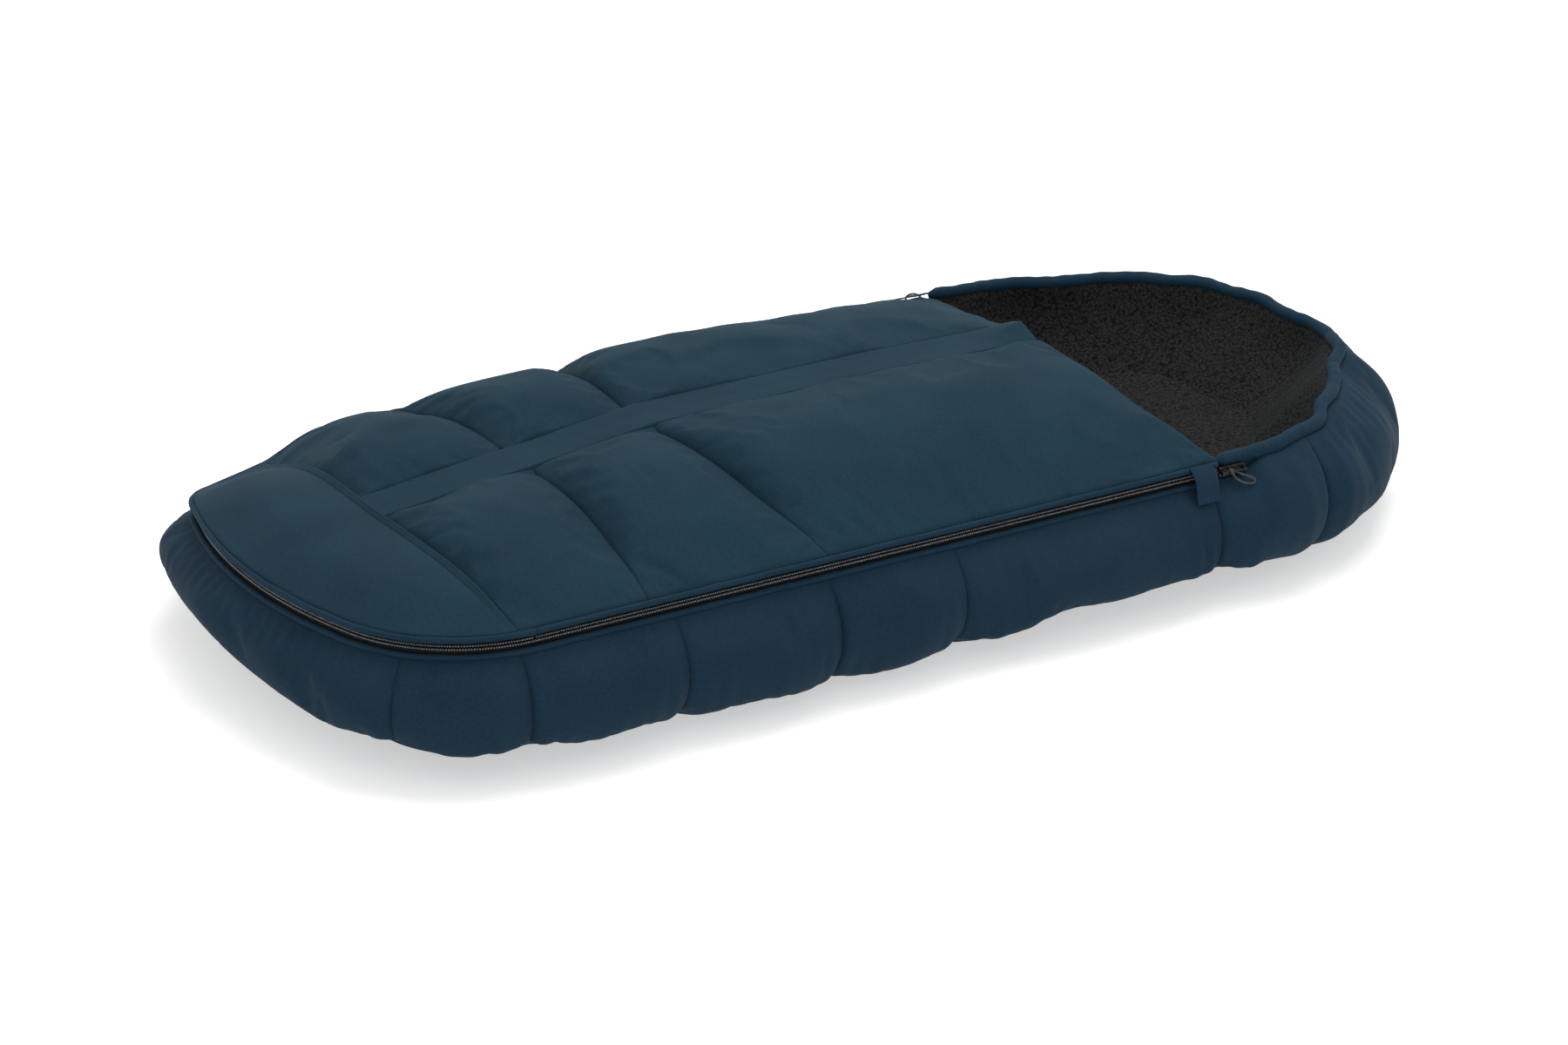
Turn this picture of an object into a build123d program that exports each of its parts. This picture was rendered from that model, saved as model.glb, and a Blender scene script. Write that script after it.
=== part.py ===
from build123d import *
import math
import os

# Padded sleeping bag for a pushchair seat: a quilted tub with a hood at the head end, and a quilted
# cover that a two-slider zip closes round the sides and the toe end.
# Millimetres. +Y runs from the toe end to the head end, +Z up, the origin on the floor at the middle.

os.makedirs("parts", exist_ok=True)

# Plan of the zip line: a toe arc, two corner arcs, straight sides and a half circle round the head
LENGTH = 1008
ZIP_HALF_WIDTH = 201
TOE_ZIP_Y = -470
CORNER_Y = -348
CORNER_RADIUS = 106.5
HEAD_Y = 269
ZIP_Z = 97

# Where the quilting seams cross the sides
SEAM_Y = CORNER_Y
SIDE_SEAMS = [CORNER_Y, -239, -114, -9, 216]
HOOD_SEAM_Y = 312
COVER_SEAMS = [SEAM_Y, -251, -128, 226]
FOLD_GAP = 0.3
FRONT_CURVE_RADIUS = 546
FRONT_CURVE_Y = 187

# Wall section, as (distance outside the zip line, height)
WALL_FOOT = (-24, 3)
WALL_BELLY = (34, 46)
WALL_TOP_Z = 88
WALL_TOP = (1, WALL_TOP_Z)
WALL_INNER_TOP = -12
WALL_INNER_FOOT = -40
HOOD_TOP_Z = 104
HOOD_BELLY = (35, 50)
HOOD_TOP = (-1, HOOD_TOP_Z)
COLLAR_OUT = -5
LINING = 5
CLEAR = 0.3

# Back: an underside skin, a pad and its fleece
SKIN = 2
PAD_TOP = 24
BACK_TOP = 30
PAD_OFFSET = -41
FLEECE_OFFSET = -34.5

# Cover section
EDGE_X = 197
EDGE_TOP = 106
EDGE_UNDER = 94
CREST_X = 110
STRIP_HALF = 20
STRIP_OVERLAP = 1
SECTION_FLOOR = 60
CEILING = 200
ROOM_MARGIN = 2
COVER_LINING_HALF = 195
COVER_ZIP_END_Y = 224

# Cover and toe panel heights at the middle and at the crest, where each quilted row starts and ends
TOE_PANEL_Y = -472
TOE_HEIGHTS = ((104, 103.5), (125, 127))
ROW_HEIGHTS = [((129, 131), (142, 143)), ((144, 146), (152, 155)), ((152, 157), (149, 152))]
STRIP_PROFILE = [(-251, 138), (-148, 150), (226, 150)]

# The room under the toe panel and the cover, as (y, height at the middle, height at the edge)
TOE_ROOM = [(-476, 93.5, 93), (SEAM_Y, 108, EDGE_UNDER)]
COVER_ROOM = [
    (SEAM_Y, 108, EDGE_UNDER), (-251, 120, EDGE_UNDER), (-128, 131, EDGE_UNDER), (234, 131, EDGE_UNDER),
]
TOE_LINING = 4
TOE_LINING_OFFSET = -7

# Zip: two half chains on their tapes, with piping beads above and below
CHAIN_OUT = (-0.2, 2.2)
TAPE_OUT = (-1.2, -0.2)
CHAIN_HEIGHT = 2.4
CHAIN_GAP = 1.4
PIPING_RADIUS = 2.5
PIPING_OUT = 2.6
BASE_PIPING_Z = 90.7
COVER_PIPING_Z = 103.3
TAPE_TOP_Z = 106
CHAIN_END_Y = 248.3
STOP_LENGTH = 2.4

# Hood rim
BINDING_RADIUS = 5.8
BINDING_OUT = -6.8
BINDING_Z = 110.1
CHANNEL_RADIUS = 2.0
ELASTIC_RADIUS = 1.6
BINDING_START_Y = 228

# Slider, its bridge and its cord pull
SLIDER_Y = 237
SLIDER_LENGTH = 24
SLIDER_HEIGHT = 7
PLATE_CORNER = 2
OUTER_PLATE = (3.0, 4.4)
INNER_PLATE = (-3.2, -2.0)
POST_Y = (7, 11)
POST_THICKNESS = 0.6
BRIDGE_OUT = 8.0
BRIDGE_RADIUS = 0.6
BRIDGE_FOOT = 2.0
BRIDGE_FOOT_HEIGHT = 2.4
BRIDGE_INSET = 1
CORD_RADIUS = 0.8

# Ribbon tabs at the cover's front corners
TAB_Y = (198, 218)
TAB_THICKNESS = 1.2

# Harness slots through the back: (x, y, width)
SLOT_LENGTH_Y = 14
HARNESS_SLOTS = [(0, -60, 60), (-60, 90, 42), (60, 90, 42), (-60, 145, 42), (60, 145, 42)]
SLOT_BORDER = 5
SLOT_CORNER = 6

# The toe arc touches both corner arcs, which fixes its radius
corner_x = ZIP_HALF_WIDTH - CORNER_RADIUS
toe_depth = CORNER_Y - TOE_ZIP_Y
toe_radius = (corner_x**2 + toe_depth**2 - CORNER_RADIUS**2) / (2 * (toe_depth - CORNER_RADIUS))
toe_y = TOE_ZIP_Y + toe_radius
toe_angle = math.degrees(math.atan2(corner_x, toe_radius - toe_depth))
corner_angle = 90 - toe_angle
chain_top = ZIP_Z - CHAIN_GAP / 2
chain_foot = ZIP_Z + CHAIN_GAP / 2


def save(name, shape):
    """Write one piece to its own STEP file."""
    export_step(shape, f"parts/{name}.step")


def mirrored(shape):
    """The same piece on the other side."""
    return mirror(shape, about=Plane.YZ)


def outline(offset):
    """The bag's plan as a face, at a distance outside the zip line."""
    half = ZIP_HALF_WIDTH + offset
    corner = CORNER_RADIUS + offset
    edges = [
        CenterArc((0, toe_y), toe_radius + offset, 270 - toe_angle, 2 * toe_angle),
        CenterArc((corner_x, CORNER_Y), corner, 270 + toe_angle, corner_angle),
        Line((half, CORNER_Y), (half, HEAD_Y)),
        CenterArc((0, HEAD_Y), half, 0, 180),
        Line((-half, HEAD_Y), (-half, CORNER_Y)),
        CenterArc((-corner_x, CORNER_Y), corner, 180, corner_angle),
    ]
    return make_face(edges)


def slab(offset, low, high):
    """A flat layer of the plan between two heights."""
    return extrude(Pos(0, 0, low) * outline(offset), high - low)


def between(x0, x1, y0, y1, z0, z1):
    """A box between two corners."""
    centre = Pos((x0 + x1) / 2, (y0 + y1) / 2, (z0 + z1) / 2)
    return centre * Box(x1 - x0, y1 - y0, z1 - z0)


def turned(section, centre, radius, start, sweep):
    """A section carried round an upright axis, from one compass angle through another."""
    way = Vector(math.cos(math.radians(start)), math.sin(math.radians(start)), 0)
    base = Vector(centre[0], centre[1], 0) + way * radius
    face = Plane(base, x_dir=way, z_dir=way.cross(Vector(0, 0, 1))) * section
    return revolve(face, Axis((centre[0], centre[1], 0), (0, 0, 1)), sweep)


def along_side(section, start, end):
    """A section carried along the right side."""
    plane = Plane((ZIP_HALF_WIDTH, start, 0), x_dir=(1, 0, 0), z_dir=(0, -1, 0))
    return extrude(plane * section, start - end)


def round_corner(section):
    """A section carried round the right toe corner."""
    return turned(section, (corner_x, CORNER_Y), CORNER_RADIUS, 270 + toe_angle, corner_angle)


def round_toe(section):
    """A section carried round the toe."""
    return turned(section, (0, toe_y), toe_radius, 270 - toe_angle, 2 * toe_angle)


def round_head(section):
    """A section carried round the head."""
    return turned(section, (0, HEAD_Y), ZIP_HALF_WIDTH, 0, 180)


def round_foot_end(section, side_end):
    """A section carried along both sides and round the toe, from the side's end to the other's."""
    side = along_side(section, CORNER_Y, side_end) + round_corner(section)
    return side + round_toe(section) + mirrored(side)


def round_head_end(section, side_start):
    """A section carried along both sides and round the head, from the sides' start."""
    side = along_side(section, side_start, HEAD_Y)
    return side + round_head(section) + mirrored(side)


def wall_section(belly, top):
    """The padded wall: a bulging outer face, and an inner face that leans in towards the foot."""
    edges = [
        ThreePointArc(WALL_FOOT, belly, top),
        Line(top, (WALL_INNER_TOP, top[1])),
        Line((WALL_INNER_TOP, top[1]), (WALL_INNER_FOOT, WALL_FOOT[1])),
        Line((WALL_INNER_FOOT, WALL_FOOT[1]), WALL_FOOT),
    ]
    return make_face(edges)


def collar_section():
    """The upright band above the wall beside the parked slider."""
    return make_face(Polyline(
        (WALL_INNER_TOP, WALL_TOP_Z), (COLLAR_OUT, WALL_TOP_Z), (COLLAR_OUT, HOOD_TOP_Z),
        (WALL_INNER_TOP, HOOD_TOP_Z), close=True,
    ))


def lining_section(top):
    """Fleece on the inside of the wall, from the back's fleece to the top."""
    lean = (WALL_INNER_TOP - WALL_INNER_FOOT) / (top - WALL_FOOT[1])
    foot_z = BACK_TOP + CLEAR
    out_top = WALL_INNER_TOP - CLEAR
    out_foot = out_top - lean * (top - foot_z)
    return make_face(Polyline(
        (out_top, top), (out_top - LINING, top), (out_foot - LINING, foot_z), (out_foot, foot_z),
        close=True,
    ))


def band(out, low, high):
    """A rectangular section between two distances outside the zip line and two heights."""
    centre = Pos((out[0] + out[1]) / 2, (low + high) / 2)
    return centre * Rectangle(out[1] - out[0], high - low)


def crown_half(y, centre, crest, floor):
    """Half of the cover's section: from the strip over the crest down to the zipped edge."""
    inner = STRIP_HALF + FOLD_GAP
    edges = [
        ThreePointArc((inner, centre), (CREST_X, crest), (EDGE_X, EDGE_TOP)),
        Line((EDGE_X, EDGE_TOP), (EDGE_X, floor)),
        Line((EDGE_X, floor), (inner, floor)),
        Line((inner, floor), (inner, centre)),
    ]
    return Plane((0, y, 0), x_dir=(1, 0, 0), z_dir=(0, -1, 0)) * make_face(edges)


def hollow_section(y, centre, edge):
    """The section of the room under the cover, from side to side."""
    half = EDGE_X + ROOM_MARGIN
    edges = [
        ThreePointArc((-half, edge), (0, centre), (half, edge)),
        Line((half, edge), (half, SECTION_FLOOR)),
        Line((half, SECTION_FLOOR), (-half, SECTION_FLOOR)),
        Line((-half, SECTION_FLOOR), (-half, edge)),
    ]
    return Plane((0, y, 0), x_dir=(1, 0, 0), z_dir=(0, -1, 0)) * make_face(edges)


def hollow(stations):
    """The room under the cover, through sections of (y, height at the middle, height at the edge)."""
    faces = [hollow_section(*station) for station in stations]
    spans = [loft([a, b], ruled=True) for a, b in zip(faces, faces[1:])]
    solid = spans[0]
    for span in spans[1:]:
        solid = solid + span
    return solid


# --- back -------------------------------------------------------------------------------------
slots = Part()
slot_bindings = Part()
for slot_x, slot_y, width in HARNESS_SLOTS:
    place = Pos(slot_x, slot_y, 0)
    hole = extrude(place * RectangleRounded(width, SLOT_LENGTH_Y, SLOT_CORNER), BACK_TOP + SKIN)
    slots = slots + Pos(0, 0, -SKIN / 2) * hole
    rim = RectangleRounded(width, SLOT_LENGTH_Y, SLOT_CORNER)
    bound = RectangleRounded(
        width + 2 * SLOT_BORDER, SLOT_LENGTH_Y + 2 * SLOT_BORDER, SLOT_CORNER + SLOT_BORDER
    )
    frame_face = place * (bound - rim)
    slot_bindings = slot_bindings + extrude(Pos(0, 0, BACK_TOP) * frame_face, SKIN / 2)

pad = slab(PAD_OFFSET, SKIN, PAD_TOP)


def pad_block(x0, x1, y0, y1):
    """A block of the pad between quilting lines."""
    return pad & between(x0, x1, y0, y1, 0, PAD_TOP)


# The pad is quilted in blocks, so that each harness slot lies between two of them
slot_rows = sorted({slot_y for _, slot_y, _ in HARNESS_SLOTS})
slot_row_blocks = []
for row_y in slot_rows:
    row_slots = sorted((x, width) for x, slot_y, width in HARNESS_SLOTS if slot_y == row_y)
    left = -LENGTH
    for slot_x, width in row_slots + [(2 * LENGTH, 2 * LENGTH)]:
        right = slot_x - width / 2
        block = pad_block(left, right, row_y - SLOT_LENGTH_Y / 2, row_y + SLOT_LENGTH_Y / 2)
        slot_row_blocks.append(block)
        left = slot_x + width / 2
pad_edges = [-LENGTH, *(y + way * SLOT_LENGTH_Y / 2 for y in slot_rows for way in (-1, 1)), LENGTH]
pad_names = ["back_pad_foot", "back_pad_seat", "back_pad_shoulder", "back_pad_head"]
for name, start, end in zip(pad_names, pad_edges[::2], pad_edges[1::2]):
    save(name, pad_block(-LENGTH, LENGTH, start, end))
save("back_pad_slot_blocks", Compound(children=slot_row_blocks))
save("underside_panel", slab(WALL_FOOT[0], 0, SKIN) - slots)
save("back_lining", slab(FLEECE_OFFSET, PAD_TOP, BACK_TOP) - slots)
save("harness_slot_bindings", slot_bindings)

# --- walls ------------------------------------------------------------------------------------
wall = wall_section(WALL_BELLY, WALL_TOP)
hood_wall = wall_section(HOOD_BELLY, HOOD_TOP)
save("toe_baffle", round_toe(wall))
corner = round_corner(wall)
save("corner_baffle_right", corner)
save("corner_baffle_left", mirrored(corner))
for number, (start, end) in enumerate(zip(SIDE_SEAMS, SIDE_SEAMS[1:]), 1):
    baffle = along_side(wall, start, end)
    save(f"side_baffle_right_{number}", baffle)
    save(f"side_baffle_left_{number}", mirrored(baffle))
hood_side = along_side(wall, SIDE_SEAMS[-1], HEAD_Y)
hood_side = hood_side + along_side(collar_section(), BINDING_START_Y, HEAD_Y)
save("hood_baffle_right", hood_side)
save("hood_baffle_left", mirrored(hood_side))
head_reach = math.degrees(math.asin((HOOD_SEAM_Y - HEAD_Y) / ZIP_HALF_WIDTH))
shoulder = turned(hood_wall, (0, HEAD_Y), ZIP_HALF_WIDTH, 0, head_reach)
save("hood_shoulder_right", shoulder)
save("hood_shoulder_left", mirrored(shoulder))
save("hood_head_baffle", turned(hood_wall, (0, HEAD_Y), ZIP_HALF_WIDTH, head_reach, 180 - 2 * head_reach))
save("side_lining", round_foot_end(lining_section(WALL_TOP_Z), SIDE_SEAMS[-1]))
save("hood_lining", round_head_end(lining_section(HOOD_TOP_Z), BINDING_START_Y))

# --- hood rim ---------------------------------------------------------------------------------
rim_centre = Pos(BINDING_OUT, BINDING_Z)
binding = rim_centre * (Circle(BINDING_RADIUS) - Circle(CHANNEL_RADIUS))
save("hood_binding", round_head_end(binding, BINDING_START_Y))
save("hood_elastic", round_head_end(rim_centre * Circle(ELASTIC_RADIUS), BINDING_START_Y))

# --- zip and piping on the tub ----------------------------------------------------------------
base_tape = band(TAPE_OUT, WALL_TOP_Z, chain_top)
base_chain = band(CHAIN_OUT, chain_top - CHAIN_HEIGHT, chain_top)
base_piping = Pos(PIPING_OUT, BASE_PIPING_Z) * Circle(PIPING_RADIUS)
save("base_zip_tape", round_foot_end(base_tape, CHAIN_END_Y + STOP_LENGTH))
save("base_zip_chain", round_foot_end(base_chain, CHAIN_END_Y))
save("base_piping", round_foot_end(base_piping, SIDE_SEAMS[-1]))
stop = along_side(
    band(CHAIN_OUT, chain_top - CHAIN_HEIGHT, chain_foot), CHAIN_END_Y, CHAIN_END_Y + STOP_LENGTH
)
save("zip_stop_right", stop)
save("zip_stop_left", mirrored(stop))

# --- toe panel, which stays zipped to the tub ---------------------------------------------------
toe_room = hollow(TOE_ROOM)
toe_start, toe_end = TOE_HEIGHTS
toe_half = loft([
    crown_half(TOE_PANEL_Y, *toe_start, SECTION_FLOOR), crown_half(SEAM_Y, *toe_end, SECTION_FLOOR)
], ruled=True)
toe_side = make_face(Polyline(
    (TOE_PANEL_Y, SECTION_FLOOR), (TOE_PANEL_Y, toe_start[0]), (SEAM_Y, toe_end[0]), (SEAM_Y, SECTION_FLOOR),
    close=True,
))
toe_middle = STRIP_HALF + STRIP_OVERLAP
toe_top = extrude(Plane.YZ * Pos(0, 0, -toe_middle) * toe_side, 2 * toe_middle)
toe_plan = slab(EDGE_X - ZIP_HALF_WIDTH, SECTION_FLOOR, CEILING)
toe_zone = between(-LENGTH / 2, LENGTH / 2, -LENGTH / 2, SEAM_Y - FOLD_GAP, 0, CEILING)
toe_solid = (toe_half + mirrored(toe_half) + toe_top) & toe_plan & toe_zone
save("toe_panel", toe_solid - toe_room)
toe_skin = toe_room - Pos(0, 0, -TOE_LINING) * toe_room
save("toe_lining", toe_skin & slab(TOE_LINING_OFFSET, SECTION_FLOOR, CEILING) & toe_zone)


def round_toe_only(section):
    """A section carried round the toe and both corners, up to the fold."""
    side = round_corner(section)
    return (side + round_toe(section) + mirrored(side)) & toe_zone


cover_tape = band(TAPE_OUT, chain_foot, TAPE_TOP_Z)
cover_chain = band(CHAIN_OUT, chain_foot, chain_foot + CHAIN_HEIGHT)
cover_piping = Pos(PIPING_OUT, COVER_PIPING_Z) * Circle(PIPING_RADIUS)
save("toe_zip_tape", round_toe_only(cover_tape))
save("toe_zip_chain", round_toe_only(cover_chain))
save("toe_piping", round_toe_only(cover_piping))

# --- cover, which folds back over the toe panel -------------------------------------------------
cover_room = hollow(COVER_ROOM)
front_cut = Pos(0, FRONT_CURVE_Y + FRONT_CURVE_RADIUS, 0) * Cylinder(FRONT_CURVE_RADIUS, 2 * LENGTH)
cover_start = SEAM_Y + FOLD_GAP
rows = zip(COVER_SEAMS, COVER_SEAMS[1:], ROW_HEIGHTS)
for number, (start, end, (low, high)) in enumerate(rows, 1):
    start = max(start, cover_start)
    block = loft([
        crown_half(start, *low, SECTION_FLOOR), crown_half(end, *high, SECTION_FLOOR)
    ], ruled=True)
    row = block - cover_room - front_cut
    save(f"quilt_right_{number}", row)
    save(f"quilt_left_{number}", mirrored(row))

strip_side = make_face(Polyline(
    (cover_start, SECTION_FLOOR), (cover_start, toe_end[0]), *STRIP_PROFILE,
    (COVER_SEAMS[-1], SECTION_FLOOR), close=True,
))
strip = extrude(Plane.YZ * Pos(0, 0, -STRIP_HALF) * strip_side, 2 * STRIP_HALF)
save("centre_strip", strip - cover_room - front_cut)
cover_skin = cover_room - Pos(0, 0, -LINING) * cover_room
cover_zone = between(
    -COVER_LINING_HALF, COVER_LINING_HALF, cover_start, COVER_SEAMS[-1], SECTION_FLOOR, CEILING
)
save("cover_lining", (cover_skin & cover_zone) - front_cut)

for piece, section in [("tape", cover_tape), ("chain", cover_chain), ("piping", cover_piping)]:
    name = "cover_piping" if piece == "piping" else f"cover_zip_{piece}"
    strand = along_side(section, cover_start, COVER_ZIP_END_Y)
    save(f"{name}_right", strand)
    save(f"{name}_left", mirrored(strand))

# --- sliders ------------------------------------------------------------------------------------
def plate(out):
    """One of the slider's two plates, with rounded corners."""
    shape = RectangleRounded(SLIDER_LENGTH, SLIDER_HEIGHT, PLATE_CORNER)
    place = Plane((ZIP_HALF_WIDTH + out[0], SLIDER_Y, ZIP_Z), x_dir=(0, 1, 0), z_dir=(1, 0, 0))
    return extrude(place * shape, out[1] - out[0])


post = between(
    ZIP_HALF_WIDTH + INNER_PLATE[1], ZIP_HALF_WIDTH + OUTER_PLATE[0],
    SLIDER_Y + POST_Y[0], SLIDER_Y + POST_Y[1],
    ZIP_Z - POST_THICKNESS / 2, ZIP_Z + POST_THICKNESS / 2,
)
bridge_x = ZIP_HALF_WIDTH + BRIDGE_OUT
bar_length = SLIDER_LENGTH - 2 * BRIDGE_INSET
bar_plane = Plane((bridge_x, SLIDER_Y - bar_length / 2, ZIP_Z), z_dir=(0, 1, 0))
bar = extrude(bar_plane * Circle(BRIDGE_RADIUS), bar_length)
slider = plate(OUTER_PLATE) + plate(INNER_PLATE) + post + bar
for foot_y in (SLIDER_Y - bar_length / 2, SLIDER_Y + bar_length / 2 - BRIDGE_FOOT):
    slider = slider + between(
        ZIP_HALF_WIDTH + OUTER_PLATE[1], bridge_x + BRIDGE_RADIUS, foot_y, foot_y + BRIDGE_FOOT,
        ZIP_Z - BRIDGE_FOOT_HEIGHT / 2, ZIP_Z + BRIDGE_FOOT_HEIGHT / 2,
    )
save("slider_right", slider)
save("slider_left", mirrored(slider))

# --- cord pulls ---------------------------------------------------------------------------------
# Points from the bridge bar's middle: outward, along +Y, up. The cord starts and ends under the bar.
PULL_RIGHT = [
    (-1.9, 0.4, 0.4), (-2.0, -2.6, 1.1), (-0.8, -4.0, 2.3), (1.5, -4.2, 1.9), (2.4, -3.6, -0.6),
    (3.2, -1.2, -4.2), (3.8, 3.6, -7.8), (4.3, 9.6, -10.2), (4.6, 14.0, -11.0), (4.6, 16.3, -9.4),
    (4.3, 14.6, -6.9), (3.5, 9.4, -4.4), (1.6, 5.0, -2.6), (-1.0, 3.4, -1.6), (-1.9, 0.8, -0.4),
]
PULL_LEFT = [
    (-1.9, 0.4, 0.4), (-2.0, -2.6, 1.1), (-0.8, -4.0, 2.3), (1.5, -4.6, 2.5), (4.6, -5.0, 4.2),
    (9.0, -6.2, 5.6), (14.0, -8.0, 4.4), (18.4, -9.4, 1.4), (20.4, -9.6, -1.8), (19.2, -7.6, -3.6),
    (14.8, -4.4, -2.6), (9.4, -1.4, -2.2), (4.2, 1.0, -2.4), (0.2, 2.6, -2.6), (-1.9, 1.2, -0.6),
]


def cord_path(points):
    """Straight runs joined by tangent arcs, each as large as its two runs allow."""
    radii = []
    for before, here, after in zip(points, points[1:], points[2:]):
        into, out = Vector(*here) - Vector(*before), Vector(*after) - Vector(*here)
        half_turn = math.radians(into.get_angle(out)) / 2
        radii.append(0.45 * min(into.length, out.length) / math.tan(half_turn))
    return FilletPolyline(*points, radius=radii), radii


def cord_tube(points):
    """The cord's solid along its route."""
    path, radii = cord_path(points)
    tube = sweep(Plane(path @ 0, z_dir=path % 0) * Circle(CORD_RADIUS), path=path)
    print("cord length", round(path.length, 1), "volume ratio",
          round(tube.volume / (path.length * math.pi * CORD_RADIUS**2), 4),
          "radii", [round(r, 1) for r in radii])
    return tube


for name, side, points in [("pull_cord_right", 1, PULL_RIGHT), ("pull_cord_left", -1, PULL_LEFT)]:
    save(name, cord_tube([(side * (bridge_x + u), SLIDER_Y + v, ZIP_Z + w) for u, v, w in points]))

# --- ribbon tabs --------------------------------------------------------------------------------
# Sections as (outside the zip line, height): one bridges the zip, the other is folded back on the cover
tab_closed = [(5, 107), (12.4, 100), (15.4, 86.2), (18.2, 81)]
tab_open = [(4.6, 107.4), (-4, 113), (-16, 125), (-24, 131)]
ribbon_plane = Plane((ZIP_HALF_WIDTH, TAB_Y[0], 0), x_dir=(1, 0, 0), z_dir=(0, -1, 0))


def ribbon(points):
    """A ribbon on the right side whose section follows the points."""
    return extrude(ribbon_plane * trace(Polyline(*points), TAB_THICKNESS), TAB_Y[0] - TAB_Y[1])


save("tab_right", ribbon(tab_closed))
save("tab_left", mirrored(ribbon(tab_open)))
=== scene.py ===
import math

import bmesh
import bpy
import numpy as np
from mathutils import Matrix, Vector


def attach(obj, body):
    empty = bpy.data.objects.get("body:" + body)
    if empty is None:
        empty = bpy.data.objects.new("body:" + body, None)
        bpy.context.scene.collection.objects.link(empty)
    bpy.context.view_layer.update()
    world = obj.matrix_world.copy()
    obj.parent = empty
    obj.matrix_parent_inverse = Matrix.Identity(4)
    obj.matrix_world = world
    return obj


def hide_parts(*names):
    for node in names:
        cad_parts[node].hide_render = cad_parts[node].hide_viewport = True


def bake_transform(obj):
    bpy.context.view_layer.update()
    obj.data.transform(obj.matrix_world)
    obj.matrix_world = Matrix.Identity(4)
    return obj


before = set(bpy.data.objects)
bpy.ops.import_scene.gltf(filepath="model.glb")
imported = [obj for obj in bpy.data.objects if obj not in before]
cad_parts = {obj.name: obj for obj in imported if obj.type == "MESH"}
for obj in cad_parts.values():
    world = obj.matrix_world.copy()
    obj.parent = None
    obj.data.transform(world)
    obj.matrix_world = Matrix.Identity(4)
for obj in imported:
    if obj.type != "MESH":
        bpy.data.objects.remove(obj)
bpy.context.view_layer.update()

# The looks of a quilted pushchair sleeping bag. Lengths are in millimetres up to each mesh's making.
MM = 0.001

# Plan of the zip line, as in the CAD model: a toe arc, two corner arcs, straight sides, a round head
HALF_WIDTH = 201.0
TOE_Y = -470.0
CORNER_Y = -348.0
CORNER_RADIUS = 106.5
HEAD_Y = 269.0
CORNER_X = HALF_WIDTH - CORNER_RADIUS
TOE_DEPTH = CORNER_Y - TOE_Y
TOE_RADIUS = (CORNER_X**2 + TOE_DEPTH**2 - CORNER_RADIUS**2) / (2 * (TOE_DEPTH - CORNER_RADIUS))
TOE_CENTRE = TOE_Y + TOE_RADIUS
TOE_ANGLE = math.atan2(CORNER_X, TOE_RADIUS - TOE_DEPTH)
TOE_RUN = TOE_RADIUS * TOE_ANGLE
CORNER_RUN = TOE_RUN + CORNER_RADIUS * (math.pi / 2 - TOE_ANGLE)
SIDE_RUN = CORNER_RUN + HEAD_Y - CORNER_Y
HALF_RUN = SIDE_RUN + HALF_WIDTH * math.pi / 2

SIDE_SEAMS = [-359, -239, -114, -9, 216]
HOOD_SEAM = SIDE_RUN + 43.3
TOE_SEAM = 172.0
ZIP_Z = 97.0
CHAIN_END_Y = 248.3
FOLD_GAP = 0.3
COVER_END_Y = 226.0
BINDING_START_Y = 228.0
STRIP_HALF = 20.0


def along(y):
    """The run of the zip line, from the toe's middle, at which the right side reaches y."""
    return CORNER_RUN + y - CORNER_Y


def zip_line(run):
    """Points of the zip line and its outward direction, at runs counted from the toe's middle rightward."""
    run = np.mod(np.asarray(run, float), 2 * HALF_RUN)
    side = np.where(run > HALF_RUN, -1.0, 1.0)
    s = np.where(run > HALF_RUN, 2 * HALF_RUN - run, run)
    turn = np.select(
        [s < TOE_RUN, s < CORNER_RUN, s < SIDE_RUN],
        [s / TOE_RADIUS, TOE_ANGLE + (s - TOE_RUN) / CORNER_RADIUS, math.pi / 2 + 0 * s],
        math.pi / 2 + (s - SIDE_RUN) / HALF_WIDTH,
    )
    out_x, out_y = np.sin(turn), -np.cos(turn)
    x = np.select(
        [s < TOE_RUN, s < CORNER_RUN, s < SIDE_RUN],
        [TOE_RADIUS * out_x, CORNER_X + CORNER_RADIUS * out_x, HALF_WIDTH + 0 * s],
        HALF_WIDTH * out_x,
    )
    y = np.select(
        [s < TOE_RUN, s < CORNER_RUN, s < SIDE_RUN],
        [TOE_CENTRE + TOE_RADIUS * out_y, CORNER_Y + CORNER_RADIUS * out_y, s - CORNER_RUN + CORNER_Y],
        HEAD_Y + HALF_WIDTH * out_y,
    )
    return side * x, y, side * out_x, out_y


def inside(x, y):
    """How far a point is inside the zip line."""
    x = np.abs(x)
    toe_gap = TOE_RADIUS - np.hypot(x, np.minimum(y - TOE_CENTRE, 0))
    corner_gap = CORNER_RADIUS - np.hypot(x - CORNER_X, y - CORNER_Y)
    in_corner = (x > CORNER_X) & (y < CORNER_Y)
    in_toe = (np.arctan2(x, TOE_CENTRE - y) < TOE_ANGLE) & (y < CORNER_Y)
    return np.where(in_toe, toe_gap, np.where(in_corner, corner_gap, np.minimum(HALF_WIDTH - x, toe_gap)))


def ripples(u, v, seed, wavelength, stretch=1.0, count=9):
    """Smooth random waves of about unit height over (u, v), longer along v by the stretch."""
    rng = np.random.default_rng(seed)
    total = np.zeros(np.broadcast(u, v).shape)
    for _ in range(count):
        way = rng.uniform(0, math.pi)
        length = wavelength * rng.uniform(0.7, 1.5)
        phase = rng.uniform(0, 2 * math.pi)
        total += np.sin((u * math.cos(way) + v * math.sin(way) / stretch) * 2 * math.pi / length + phase)
    return total / math.sqrt(count)


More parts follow.
